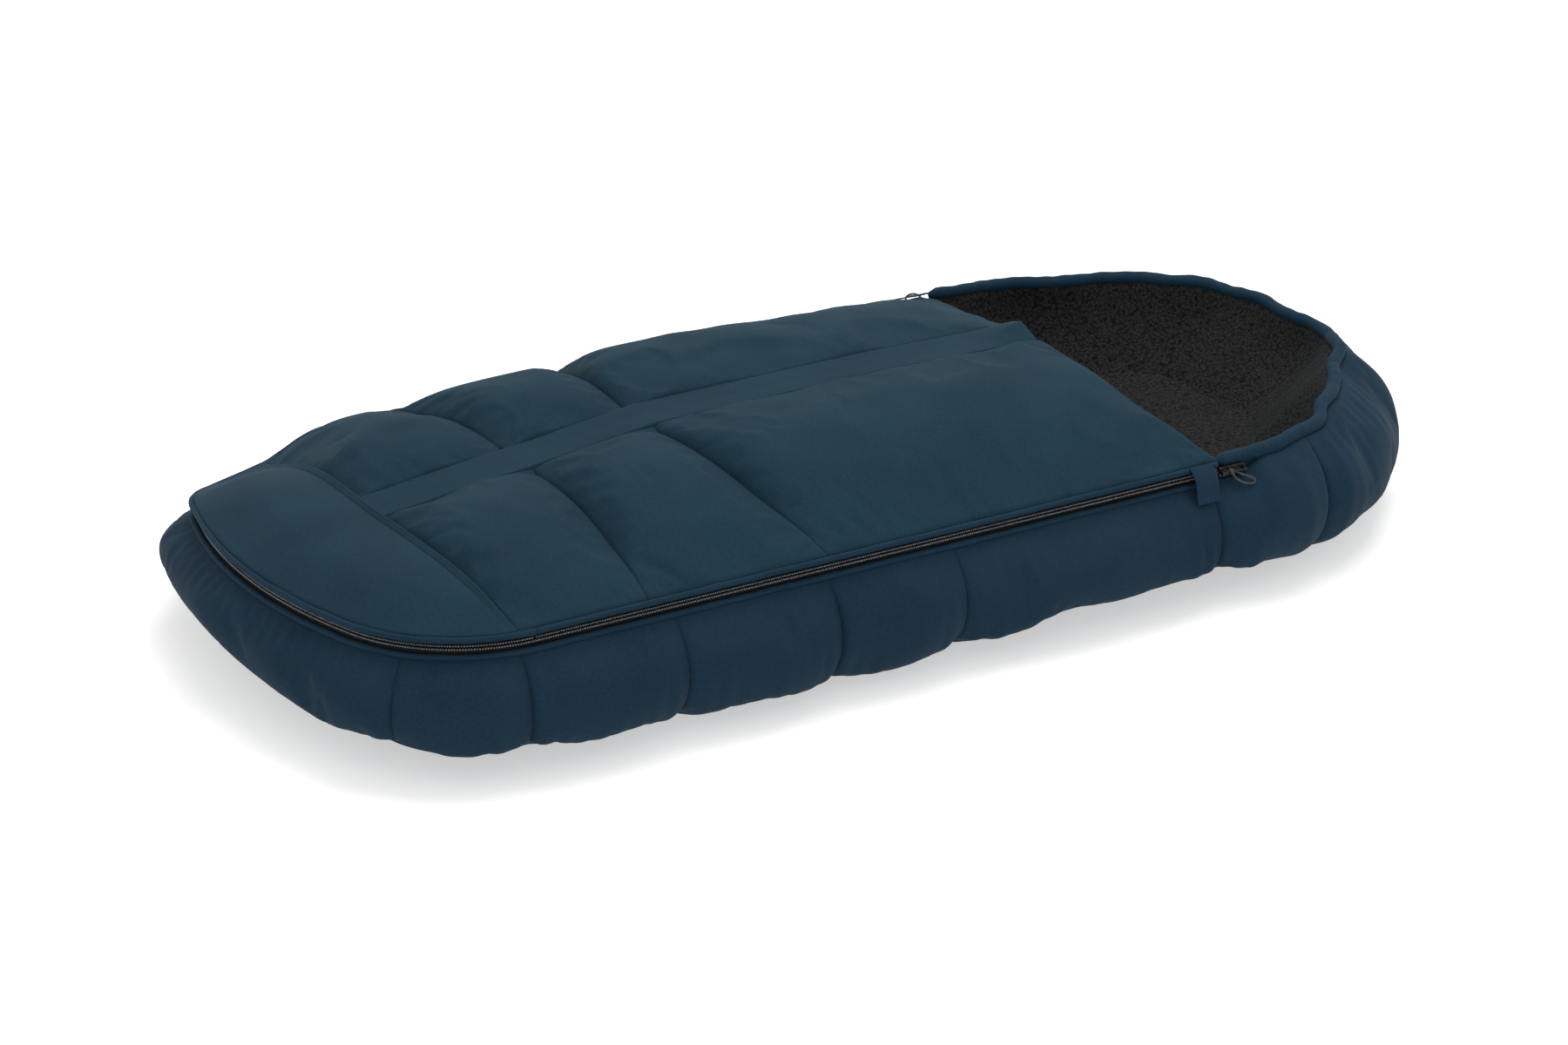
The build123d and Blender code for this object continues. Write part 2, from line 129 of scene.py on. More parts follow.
def puff(distance, rise):
    """How far a pillow has risen at a distance from its seam."""
    return 1 - np.exp(-np.abs(distance) / rise)


def smooth(t):
    """A soft step from 0 to 1."""
    t = np.clip(t, 0, 1)
    return t * t * (3 - 2 * t)


# The far toe corner sinks past the left slider's last place, and the toe end turns up from the floor
SLUMP_PLACE = (-195.0, -388.0)
SLUMP_SPREAD = 78.0
SLUMP_SHARE = 0.20
SLUMP_START = -301.0
SLUMP_LENGTH = 60.0
TOE_RISE = 24.0
TOE_RISE_START = -385.0
TOE_RISE_LENGTH = 95.0
NEAR_RISE_LOSS = 0.6
NEAR_START_X = -40.0
NEAR_WIDTH = 160.0
RISE_TOP = 90.0


def slumped(points):
    """The points with the bag's less filled toe corner sunk and its toe end turned up from the floor."""
    away = np.hypot(points[:, 0] - SLUMP_PLACE[0], points[:, 1] - SLUMP_PLACE[1]) / SLUMP_SPREAD
    sunk = points.copy()
    past_slider = smooth((SLUMP_START - points[:, 1]) / SLUMP_LENGTH)
    sunk[:, 2] *= 1 - SLUMP_SHARE * np.exp(-away**2) * past_slider
    toeward = smooth((TOE_RISE_START - points[:, 1]) / TOE_RISE_LENGTH)
    toeward = toeward * (1 - NEAR_RISE_LOSS * smooth((points[:, 0] - NEAR_START_X) / NEAR_WIDTH))
    sunk[:, 2] += TOE_RISE * toeward * np.clip(1 - points[:, 2] / RISE_TOP, 0, 1)
    return sunk


# --- meshes -------------------------------------------------------------------------------------
def new_mesh(name, points, faces, uvs):
    """A closed, smooth-shaded mesh object from points in millimetres."""
    mesh = bpy.data.meshes.new(name)
    mesh.from_pydata((slumped(np.asarray(points, float)) * MM).tolist(), [], faces)
    layer = mesh.uv_layers.new(name="UVMap")
    layer.data.foreach_set("uv", (np.asarray(uvs, np.float32) * MM).ravel())
    obj = bpy.data.objects.new(name, mesh)
    bpy.context.scene.collection.objects.link(obj)
    bm = bmesh.new()
    bm.from_mesh(mesh)
    bmesh.ops.delete(bm, geom=[v for v in bm.verts if not v.link_faces], context="VERTS")
    bmesh.ops.recalc_face_normals(bm, faces=bm.faces)
    bm.to_mesh(mesh)
    bm.free()
    mesh.shade_smooth()
    return obj


def swept(name, runs, out, height):
    """A closed section, given as rows of (distance outside the zip line, height), carried along the runs."""
    x, y, out_x, out_y = (c[:, None] for c in zip_line(runs))
    points = np.stack([x + out_x * out, y + out_y * out, height + 0 * out], -1)
    return swept_points(name, points, runs)


def swept_points(name, points, runs):
    """A closed tube mesh through rows of points."""
    n, m = points.shape[:2]
    steps = np.linalg.norm(np.diff(points, axis=1, append=points[:, :1]), axis=2).mean(0)
    across = np.concatenate([[0], np.cumsum(steps)])
    faces, uvs = [], []
    for i in range(n - 1):
        run0, run1 = runs[i], runs[i + 1]
        for j in range(m):
            j2 = (j + 1) % m
            faces.append((i * m + j, i * m + j2, (i + 1) * m + j2, (i + 1) * m + j))
            uvs += [(run0, across[j]), (run0, across[j + 1]), (run1, across[j + 1]), (run1, across[j])]
    for i, order in ((0, range(m)), (n - 1, range(m - 1, -1, -1))):
        faces.append(tuple(i * m + j for j in order))
        uvs += [(points[i, j, 0], points[i, j, 2]) for j in order]
    return new_mesh(name, points.reshape(-1, 3), faces, uvs)


def tube(name, runs, out, height, radius, sides=12):
    """A round tube beside the zip line. Out, height and radius may change along the runs."""
    angle = np.linspace(0, 2 * math.pi, sides, endpoint=False)
    out, height, radius = (np.broadcast_to(v, np.shape(runs))[:, None] for v in (out, height, radius))
    return swept(name, runs, out + radius * np.cos(angle), height + radius * np.sin(angle))


def patch(name, x, y, top, bottom, gone=None):
    """A closed piece between two height fields over one grid of plan points, less the cells that are gone."""
    n, m = x.shape
    points = np.concatenate([np.stack([x, y, z], -1).reshape(-1, 3) for z in (top, bottom)])
    under = n * m
    faces, uvs = [], []
    edges = {}

    def add(corners, flat):
        faces.append(corners)
        uvs.extend((points[c, 0] + flat * points[c, 2], points[c, 1]) for c in corners)

    for i in range(n - 1):
        for j in range(m - 1):
            if gone is not None and gone[i, j]:
                continue
            a, b, c, d = i * m + j, i * m + j + 1, (i + 1) * m + j + 1, (i + 1) * m + j
            add((a, b, c, d), 0)
            add((under + d, under + c, under + b, under + a), 0)
            for edge in ((a, b), (b, c), (c, d), (d, a)):
                if edge[::-1] in edges:
                    del edges[edge[::-1]]
                else:
                    edges[edge] = True
    for a, b in edges:
        add((b, a, under + a, under + b), 1)
    return new_mesh(name, points, faces, uvs)


# --- cloth --------------------------------------------------------------------------------------
SETTLE_FRAMES = 14


def loosen(pieces, pressure, spare, cap):
    """Let the cloth of the pieces billow and wrinkle. Each piece comes with the mask of its free points."""
    scene = bpy.context.scene
    before = []
    for obj, free in pieces:
        group = obj.vertex_groups.new(name="held")
        group.add([int(k) for k in np.flatnonzero(~free)], 1.0, "REPLACE")
        cloth = obj.modifiers.new("cloth", "CLOTH")
        settings = cloth.settings
        settings.quality = 5
        settings.mass = 0.25
        settings.tension_stiffness = settings.compression_stiffness = 12
        settings.shear_stiffness = 6
        settings.bending_stiffness = 0.3
        settings.use_pressure = True
        settings.uniform_pressure_force = pressure
        settings.shrink_min = settings.shrink_max = -spare
        settings.vertex_group_mass = "held"
        settings.effector_weights.gravity = 0
        cloth.collision_settings.use_collision = False
        cloth.point_cache.frame_end = SETTLE_FRAMES
        before.append(np.array([v.co[:] for v in obj.data.vertices]))
    for number in range(1, SETTLE_FRAMES + 1):
        scene.frame_set(number)
    graph = bpy.context.evaluated_depsgraph_get()
    for (obj, free), start in zip(pieces, before):
        shape = obj.evaluated_get(graph)
        moved = np.array([v.co[:] for v in shape.data.vertices]) - start
        size = np.linalg.norm(moved, axis=1, keepdims=True)
        limit = cap * MM
        moved = moved / np.maximum(size, 1e-9) * limit * np.tanh(size / limit)
        moved[~free] = 0
        after = start + moved
        obj.modifiers.clear()
        obj.vertex_groups.clear()
        obj.data.vertices.foreach_set("co", after.astype(np.float32).ravel())
        obj.data.update()
    scene.frame_set(1)


def free_grid(rows, columns, total, margin):
    """The mask of the first grid's inner points among all of a mesh's points."""
    free = np.zeros(total, bool)
    grid = np.zeros((rows, columns), bool)
    grid[margin:-margin, margin:-margin] = True
    free[:rows * columns] = grid.ravel()
    return free


# --- materials ----------------------------------------------------------------------------------
def shader(name, roughness, sheen=0.0, specular=0.5, metallic=0.0):
    """A new material, its node tree and its shader."""
    material = bpy.data.materials.new(name)
    material.use_nodes = True
    tree = material.node_tree
    principled = tree.nodes["Principled BSDF"]
    principled.inputs["Roughness"].default_value = roughness
    principled.inputs["Sheen Weight"].default_value = sheen
    principled.inputs["Sheen Roughness"].default_value = 0.35
    principled.inputs["Sheen Tint"].default_value = (0.55, 0.75, 0.85, 1)
    principled.inputs["Specular IOR Level"].default_value = specular
    principled.inputs["Metallic"].default_value = metallic
    return material, tree, principled


def node(tree, kind, inputs=(), **settings):
    """A node with its settings and its inputs, which are values or other sockets."""
    made = tree.nodes.new(kind)
    for key, value in settings.items():
        setattr(made, key, value)
    for key, value in dict(inputs).items():
        if isinstance(value, bpy.types.NodeSocket):
            tree.links.new(value, made.inputs[key])
        else:
            made.inputs[key].default_value = value
    return made


def maths(tree, operation, a, b=0.0):
    """The output of a maths node."""
    return node(tree, "ShaderNodeMath", {0: a, 1: b}, operation=operation).outputs[0]


def coloured(tree, principled, tone, stops, height, strength, distance):
    """Give a shader a colour ramp over a tone and a bump of a height."""
    ramp = node(tree, "ShaderNodeValToRGB", {"Fac": tone})
    for element, (position, colour) in zip(ramp.color_ramp.elements, stops):
        element.position = position
        element.color = (*colour, 1)
    bumped = node(tree, "ShaderNodeBump", {"Height": height, "Strength": strength, "Distance": distance})
    tree.links.new(ramp.outputs["Color"], principled.inputs["Base Color"])
    tree.links.new(bumped.outputs["Normal"], principled.inputs["Normal"])


def woven(name, dark, light, thread=0.55, bump=0.35, sheen=0.04, diagonal=False, by_uv=True):
    """Woven cloth: over-and-under threads, slubs and soft tone changes."""
    material, tree, principled = shader(name, 0.8, sheen, 0.08)
    uv = node(tree, "ShaderNodeTexCoord").outputs["UV" if by_uv else "Object"]
    split = node(tree, "ShaderNodeSeparateXYZ", {0: uv})
    scale = math.pi / (thread * MM)
    warp = maths(tree, "MULTIPLY", maths(tree, "ADD", split.outputs["X"], split.outputs["Z"]), scale)
    weft = maths(tree, "MULTIPLY", maths(tree, "SUBTRACT", split.outputs["Y"], split.outputs["Z"]), scale)
    if diagonal:
        weft = maths(tree, "ADD", weft, warp)
    threads = maths(tree, "MULTIPLY", maths(tree, "SINE", warp), maths(tree, "SINE", weft))
    slub = node(tree, "ShaderNodeTexNoise", {"Vector": uv, "Scale": 420.0, "Detail": 3.0}).outputs["Fac"]
    tone = node(tree, "ShaderNodeTexNoise", {"Vector": uv, "Scale": 14.0, "Detail": 4.0}).outputs["Fac"]
    mixed = maths(tree, "ADD", maths(tree, "MULTIPLY", threads, 0.16), maths(tree, "MULTIPLY", slub, 0.5))
    mixed = maths(tree, "ADD", mixed, maths(tree, "MULTIPLY", tone, 0.55))
    height = maths(tree, "ADD", threads, maths(tree, "MULTIPLY", slub, 1.2))
    coloured(tree, principled, mixed, [(0.25, dark), (0.8, light)], height, bump, 0.0002)
    return material


def fleece_material(name, dark, light):
    """Boucle fleece: curled loops about 2 mm across, with lighter tips."""
    material, tree, principled = shader(name, 0.95, 0.03, 0.1)
    place = node(tree, "ShaderNodeTexCoord").outputs["Object"]
    drift = node(tree, "ShaderNodeTexNoise", {"Vector": place, "Scale": 240.0, "Detail": 3.0})
    shift = {0: drift.outputs["Color"], "Scale": 0.0035}
    moved = node(tree, "ShaderNodeVectorMath", shift, operation="SCALE")
    bent = node(tree, "ShaderNodeVectorMath", {0: place, 1: moved.outputs[0]}, operation="ADD").outputs[0]
    loops = node(tree, "ShaderNodeTexVoronoi", {"Vector": bent, "Scale": 430.0}).outputs["Distance"]
    fine = node(tree, "ShaderNodeTexNoise", {"Vector": place, "Scale": 1100.0, "Detail": 4.0}).outputs["Fac"]
    height = maths(tree, "SUBTRACT", maths(tree, "MULTIPLY", fine, 0.9), maths(tree, "MULTIPLY", loops, 0.7))
    tone = maths(tree, "ADD", height, 0.35)
    coloured(tree, principled, tone, [(0.15, dark), (0.75, light)], height, 1.0, 0.0024)
    return material


def speckled(name, dark, light, roughness, metallic=0.0, scale=600.0, bump=0.1):
    """A moulded, cast or dotted surface with a fine grain and wear in its tone."""
    material, tree, principled = shader(name, roughness, 0.0, 0.5, metallic)
    place = node(tree, "ShaderNodeTexCoord").outputs["Object"]
    grain = node(tree, "ShaderNodeTexNoise", {"Vector": place, "Scale": scale, "Detail": 5.0}).outputs["Fac"]
    coloured(tree, principled, grain, [(0.35, dark), (0.7, light)], grain, bump, 0.0003)
    return material


COVER_CLOTH = woven("cover_cloth", (0.0045, 0.019, 0.031), (0.0100, 0.035, 0.054))
WALL_CLOTH = woven("wall_cloth", (0.0045, 0.0165, 0.030), (0.0100, 0.030, 0.052), thread=0.75)
TRIM_CLOTH = woven("trim_cloth", (0.0045, 0.017, 0.032), (0.0100, 0.032, 0.056), thread=0.45, diagonal=True)
RIBBON_CLOTH = woven("ribbon_cloth", (0.005, 0.018, 0.034), (0.011, 0.034, 0.060), thread=0.6, diagonal=True)
TAPE_CLOTH = woven("tape_cloth", (0.004, 0.004, 0.0045), (0.012, 0.012, 0.013), thread=0.5, sheen=0.05)
UNDER_CLOTH = woven("under_cloth", (0.005, 0.010, 0.015), (0.012, 0.021, 0.030), thread=1.6, bump=0.8)
WADDING = woven("wadding", (0.35, 0.35, 0.34), (0.60, 0.60, 0.58), thread=3.0)
FLOOR = speckled("floor", (0.60, 0.60, 0.60), (0.63, 0.63, 0.63), 0.9, 0.0, 5.0, 0.0)
FLOOR.node_tree.nodes["Principled BSDF"].inputs["Emission Color"].default_value = (1, 1, 1, 1)
FLOOR.node_tree.nodes["Principled BSDF"].inputs["Emission Strength"].default_value = 0.5
FLEECE = fleece_material("fleece", (0.0018, 0.0018, 0.0018), (0.034, 0.033, 0.0325))
COIL = speckled("coil", (0.070, 0.074, 0.080), (0.21, 0.22, 0.235), 0.32, 0.35, 900.0)
BLACK_METAL = speckled("black_metal", (0.006, 0.006, 0.006), (0.018, 0.017, 0.016), 0.38, 0.6)
CORD = woven("cord", (0.03, 0.03, 0.03), (0.10, 0.10, 0.10), thread=0.4, bump=0.8, sheen=0.1, by_uv=False)
SLOT_CLOTH = woven("slot_cloth", (0.0045, 0.017, 0.032), (0.0100, 0.032, 0.056), thread=0.8, by_uv=False)


def finish_piece(obj, material, body, slot, *nodes):
    """Give a piece its material and body, and hide the CAD nodes that it stands for. Its slot is not used."""
    obj.data.materials.clear()
    obj.data.materials.append(material)
    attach(obj, body)
    if nodes:
        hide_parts(*nodes)
    return obj


# --- camera -------------------------------------------------------------------------------------
AZIMUTH = math.radians(58.81)
ELEVATION = math.radians(23.23)
CAMERA_DISTANCE = 3.427
LENS = 105.5
LOOK_AT = Vector((0.02953, -0.04468, 0.0525))
back = Vector((
    math.sin(AZIMUTH) * math.cos(ELEVATION), -math.cos(AZIMUTH) * math.cos(ELEVATION), math.sin(ELEVATION)
))
camera = bpy.data.objects.new("camera", bpy.data.cameras.new("camera"))
camera.data.lens = LENS
camera.data.sensor_width = 36
camera.location = LOOK_AT + back * CAMERA_DISTANCE
camera.rotation_euler = (-back).to_track_quat("-Z", "Y").to_euler()
bpy.context.scene.collection.objects.link(camera)
bpy.context.scene.camera = camera

# --- cords --------------------------------------------------------------------------------------
SLIDER_Y = 237.0
BRIDGE_X = HALF_WIDTH + 8.0
CORD_DIAMETER = 1.6
# Points from the bridge bar's middle: outward, along +Y, up, as in the CAD model
PULL_RIGHT = [
    (-1.9, 0.4, 0.4), (-2.0, -2.6, 1.1), (-0.8, -4.0, 2.3), (1.5, -4.2, 1.9), (2.4, -3.6, -0.6),
    (3.2, -1.2, -4.2), (3.8, 3.6, -7.8), (4.3, 9.6, -10.2), (4.6, 14.0, -11.0), (4.6, 16.3, -9.4),
    (4.3, 14.6, -6.9), (3.5, 9.4, -4.4), (1.6, 5.0, -2.6), (-1.0, 3.4, -1.6), (-1.9, 0.8, -0.4),
]
PULL_LEFT = [
    (-1.9, 0.4, 0.4), (-2.0, -2.6, 1.1), (-0.8, -4.0, 2.3), (1.5, -4.6, 2.5), (4.6, -5.0, 4.2),
    (9.0, -6.2, 5.6), (14.0, -8.0, 4.4), (18.4, -9.4, 1.4), (20.4, -9.6, -1.8), (19.2, -7.6, -3.6),
    (14.8, -4.4, -2.6), (9.4, -1.4, -2.2), (4.2, 1.0, -2.4), (0.2, 2.6, -2.6), (-1.9, 1.2, -0.6),
]


def pull_cord(side_name, side, route):
    """A cord loop round the slider's bridge bar, as one smooth line."""
    points = [
        (side * (BRIDGE_X + u) * MM, (SLIDER_Y + v) * MM, (ZIP_Z + w) * MM) for u, v, w in route
    ]
    curve = bpy.data.curves.new(f"pull_loop_{side_name}", "CURVE")
    curve.dimensions = "3D"
    spline = curve.splines.new("NURBS")
    spline.points.add(len(points) - 1)
    for point, place in zip(spline.points, points):
        point.co = (*place, 1)
    spline.order_u = 3
    spline.use_endpoint_u = True
    spline.resolution_u = 8
    curve.bevel_depth = CORD_DIAMETER / 2 * MM
    curve.bevel_resolution = 3
    curve.use_fill_caps = True
    obj = bpy.data.objects.new(f"pull_loop_{side_name}", curve)
    bpy.context.scene.collection.objects.link(obj)
    finish_piece(obj, CORD, f"pull_{side_name}", "cord", f"pull_cord_{side_name}")


pull_cord("right", 1, PULL_RIGHT)
pull_cord("left", -1, PULL_LEFT)

# --- walls --------------------------------------------------------------------------------------
WALL_STEP = 3.0
WALL_ROWS = 36
LOW_SECTION = [(-26.0, 1.5), (33.0, 46.0), (1.2, 90.0)]
HOOD_SECTION = [(-26.0, 1.5), (34.0, 50.0), (-0.5, 106.0)]
HEAD_TUCK = 3.5
TOE_TUCK = 10.5
INNER_WALL = np.array([(-4.0, 0.5), (-8.0, -14.0), (-17.0, -52.0), (-27.0, -80.0)])
GROOVE = 10.0
SEAM_RISE = 12.0
HEM_LIFT = 3.0
HEM_WAVE = 1.2
SWELL = 1.6
SWELL_LENGTH = 75
CREASE = 0.9
CREASE_LENGTH = 26
CREASE_REACH = 35
GATHER_DEPTH = 0.35
GATHER_LENGTH = 17
SLACK = 1.5
END_REACH = 90
FLOOR_CLEARANCE = 0.4
TUCK_CENTRE = 0.21
TUCK_SPREAD = 0.17
FAR_TOE_TUCK = 16
FAR_TOE_RUN = -120
FAR_TOE_SPREAD = 110
# How far the lower wall is tucked under: (place along the zip line's half, depth)
TUCKS = [
    (0, 21), (172, 18), (252, 16), (along(-295), 10), (along(-250), 5), (along(-66), 3), (along(25), 8),
    (along(120), 17), (along(209), 23), (along(255), 10), (along(300), 4), (HALF_RUN, 7),
]
LINING_THICKNESS = 4.0
HOOD_START_Y = 245
HOOD_RISE_RUN = 24
RIM_KNOT_WIDTH = 7.5
RIM_WAVE = 0.8


def arc_through(a, b, c, count):
    """Points of the circle's arc from a through b to c, anticlockwise."""
    (ax, ay), (bx, by), (cx, cy) = a, b, c
    sides = 2 * np.array([[bx - ax, by - ay], [cx - ax, cy - ay]])
    squares = np.array([bx**2 + by**2 - ax**2 - ay**2, cx**2 + cy**2 - ax**2 - ay**2])
    centre = np.linalg.solve(sides, squares)
    start = math.atan2(ay - centre[1], ax - centre[0])
    end = math.atan2(cy - centre[1], cx - centre[0])
    turn = np.linspace(start, end if end > start else end + 2 * math.pi, count)
    radius = math.hypot(ax - centre[0], ay - centre[1])
    return centre[0] + radius * np.cos(turn), centre[1] + radius * np.sin(turn)


def from_toe(runs):
    """Runs counted from the toe's middle along the nearer side."""
    runs = np.mod(runs, 2 * HALF_RUN)
    return np.minimum(runs, 2 * HALF_RUN - runs)


def hood_share(runs):
    """0 as far as the parked sliders, 1 where the hood stands at its full height."""
    return smooth((from_toe(runs) - along(HOOD_START_Y)) / HOOD_RISE_RUN)


# How the soft hood rim falls: (degrees round the head from its right side, outward, upward)
RIM_FALL = [
    (-20, 0, -9), (-12, 1, -8), (0, 3, -6), (15, -1, -3), (33, -14, 1), (47, -19, 0), (54, -23, 1),
    (64, -12, 3), (81, -7, 0), (94, -12, 0), (107, -10, 2), (118, -8, 2), (138, -13, 2), (160, -15, 0),
    (176, -7, 1), (200, 0, 0),
]


def rim_wave(runs):
    """How the gathered hood rim wanders outward and upward."""
    turn = np.degrees((np.mod(runs, 2 * HALF_RUN) - SIDE_RUN) / HALF_WIDTH)
    knots, outward, upward = (np.array(column, float) for column in zip(*RIM_FALL))
    nearness = np.exp(-((turn[..., None] - knots) / RIM_KNOT_WIDTH)**2)
    weights = nearness / np.maximum(nearness.sum(-1, keepdims=True), 1e-9)
    fine = ripples(runs, 0 * runs, 8, 62) * smooth((from_toe(runs) - along(240)) / 60)
    return (weights * outward).sum(-1) + RIM_WAVE * fine, (weights * upward).sum(-1) + RIM_WAVE * fine


side_runs = [along(y) for y in SIDE_SEAMS]
half_seams = [TOE_SEAM, *side_runs, HOOD_SEAM]
SEAMS = half_seams + [2 * HALF_RUN - run for run in half_seams]


def seam_gap(runs):
    """The distance from the nearest wall seam."""
    runs = np.mod(runs, 2 * HALF_RUN)
    return np.min([np.abs(runs - seam) for seam in SEAMS], axis=0)


def wall_piece(name, start, end, nodes):
    """One quilted baffle of the wall, between two runs."""
    runs = np.linspace(start, end, int((end - start) / WALL_STEP) + 2)
    column = runs[:, None]
    share = hood_share(column)
    t = np.linspace(0, 1, WALL_ROWS)[None, :]
    low_out, low_z = arc_through(*LOW_SECTION, WALL_ROWS)
    high_out, high_z = arc_through(*HOOD_SECTION, WALL_ROWS)
    rim_out, rim_z = rim_wave(column)
    out = low_out * (1 - share) + high_out * share + rim_out * share * t**2
    z = low_z * (1 - share) + high_z * share + rim_z * share * t**2
    belly = np.sin(math.pi * np.clip(t * 1.02, 0, 1)) ** 0.6
    risen = puff(seam_gap(column), SEAM_RISE)
    swell = SWELL * ripples(column, t * 120, 5, SWELL_LENGTH) * belly * risen
    crease = CREASE * ripples(column * 1.5, t * 60, 11, CREASE_LENGTH, 2.5) * belly
    crease = crease * np.exp(-seam_gap(column) / CREASE_REACH)
    gather = GATHER_DEPTH * ripples(column, t * 8, 21, GATHER_LENGTH, 3) * share * t**3 * (1 - t) * 5
    push = (risen - 1) * GROOVE * belly + swell + crease + gather - SLACK * belly
    push = push - TOE_TUCK * smooth((TOE_SEAM - from_toe(column)) / END_REACH) * belly
    push = push - HEAD_TUCK * smooth((from_toe(column) - HOOD_SEAM) / END_REACH) * belly
    turn = (t - 0.5) * math.pi * 0.95
    out = out + np.cos(turn) * push
    z = z + np.sin(turn) * push
    tuck = np.interp(from_toe(column), *zip(*TUCKS))
    around = np.mod(column + HALF_RUN, 2 * HALF_RUN) - HALF_RUN
    tuck = tuck + FAR_TOE_TUCK * np.exp(-((around - FAR_TOE_RUN) / FAR_TOE_SPREAD)**2)
    z = z + tuck * np.exp(-((t - TUCK_CENTRE) / TUCK_SPREAD)**2)
    low_hem = np.exp(-t / 0.1)
    hem = HEM_LIFT * (1 - risen) + HEM_WAVE * ripples(column, 0 * t, 17, 50)
    z = np.maximum(z + low_hem * hem, FLOOR_CLEARANCE)
    fall = (z[:, -1:] - 3) / 85
    inner_out = INNER_WALL[:, 0] + rim_out * share * (1 + 0.5 * INNER_WALL[:, 1] / 80)
    inner_z = z[:, -1:] + INNER_WALL[:, 1] * fall
    section_out = np.concatenate([out, inner_out], 1)
    section_z = np.concatenate([z, inner_z], 1)
    wall = swept(name, runs, section_out, section_z)
    free = np.zeros(section_z.shape, bool)
    free[1:-1, 4:WALL_ROWS - 2] = True
    loose_walls.append((wall, free.ravel()))
    return finish_piece(wall, WALL_CLOTH, "bag", "wall_fabric", *nodes)


def both_sides(low, high):
    """The same span of the zip line on the right and, mirrored, on the left."""
    return (("right", low, high), ("left", 2 * HALF_RUN - high, 2 * HALF_RUN - low))


loose_walls = []
padded_pieces = [wall_piece("toe_wall", -TOE_SEAM, TOE_SEAM, ["toe_baffle"])]
for side, low, high in both_sides(TOE_SEAM, side_runs[0]):
    padded_pieces.append(wall_piece(f"corner_wall_{side}", low, high, [f"corner_baffle_{side}"]))
for number, span in enumerate(zip(side_runs, side_runs[1:]), 1):
    for side, low, high in both_sides(*span):
        nodes = [f"side_baffle_{side}_{number}"]
        padded_pieces.append(wall_piece(f"side_wall_{side}_{number}", low, high, nodes))
for side, low, high in both_sides(side_runs[-1], HOOD_SEAM):
    padded_pieces.append(wall_piece(
        f"hood_wall_{side}", low, high, [f"hood_baffle_{side}", f"hood_shoulder_{side}"]
    ))
padded_pieces.append(wall_piece("head_wall", HOOD_SEAM, 2 * HALF_RUN - HOOD_SEAM, ["hood_head_baffle"]))

loosen(loose_walls, pressure=0.6, spare=0.013, cap=2.6)

# --- hood rim -----------------------------------------------------------------------------------
BINDING_OUT = -6.8
BINDING_Z = 110.1
BINDING_RADIUS = 5.8
BINDING_COUNT = 460
rim_runs = np.linspace(along(BINDING_START_Y), 2 * HALF_RUN - along(BINDING_START_Y), BINDING_COUNT)
rim_out, rim_up = rim_wave(rim_runs)
pinch = BINDING_RADIUS * (0.93 + 0.05 * ripples(rim_runs, 0 * rim_runs, 31, 19))
ends = np.minimum(np.arange(BINDING_COUNT), np.arange(BINDING_COUNT)[::-1])
pinch = pinch * np.minimum(1, 0.55 + ends / 9)
binding = tube("hood_binding_roll", rim_runs, BINDING_OUT + rim_out, BINDING_Z + rim_up - 0.6, pinch, 20)
finish_piece(binding, TRIM_CLOTH, "bag", "trim", "hood_binding", "hood_elastic")


# The hood's collar beside each parked slider, inside the zip
COLLAR_FOOT_Z = 88
COLLAR_RUNS = (along(BINDING_START_Y), along(270))
for side, low, high in both_sides(*COLLAR_RUNS):
    collar_runs = np.linspace(low, high, 20)
    rim_out, rim_up = rim_wave(collar_runs[:, None])
    collar_height = BINDING_Z + rim_up - COLLAR_FOOT_Z - 2
    collar_z = COLLAR_FOOT_Z + collar_height * np.array([[0, 0.88, 1, 1, 0.88, 0]])
    collar_out = np.array([[-5, -5, -6, -9.5, -11, -11.5]]) + rim_out
    collar = swept(f"hood_collar_{side}", collar_runs, collar_out, collar_z)
    finish_piece(collar, WALL_CLOTH, "bag", "wall_fabric")

# --- linings ------------------------------------------------------------------------------------
LINING_OUT = -11.5
LINING_FOOT_Z = 30
HOOD_LINING_TOP = BINDING_Z - 3
SIDE_LINING_TOP = 91
LINING_STEP = 4
FOLD_LENGTH = 150


def lining(name, start, end, top, depth, seed, fold, nodes, count=24):
    """A soft fleece lining that hangs from its top edge to the back pad."""
    runs = np.linspace(start, end, int((end - start) / LINING_STEP) + 2)
    column = runs[:, None]
    t = np.linspace(0, 1, count)[None, :]
    rim_out, rim_z = rim_wave(column)
    out = LINING_OUT - depth * t**1.8 + rim_out * (1 - 0.5 * t)
    z = top + (LINING_FOOT_Z - top) * t**0.85 + rim_z * (1 - t)
    sway = np.sin(math.pi * np.clip(t * 1.1, 0, 1)) ** 0.7
    out = out + fold * sway * (ripples(column, t * 60, seed, FOLD_LENGTH, 1.6) - 1.2)
    back_out = (out + LINING_THICKNESS * 0.9)[:, ::-1]
    back_z = (z - 0.5)[:, ::-1]
    section_out, section_z = np.concatenate([out, back_out], 1), np.concatenate([z, back_z], 1)
    return finish_piece(swept(name, runs, section_out, section_z), FLEECE, "bag", "fleece", *nodes)


hood_start = along(BINDING_START_Y)
padded_pieces.append(lining(
    "hood_fleece", hood_start, 2 * HALF_RUN - hood_start, HOOD_LINING_TOP,
    depth=84, seed=41, fold=9.0, nodes=["hood_lining"],
))
padded_pieces.append(lining(
    "side_fleece", -hood_start, hood_start, SIDE_LINING_TOP,
    depth=56, seed=43, fold=2.0, nodes=["side_lining"],
))

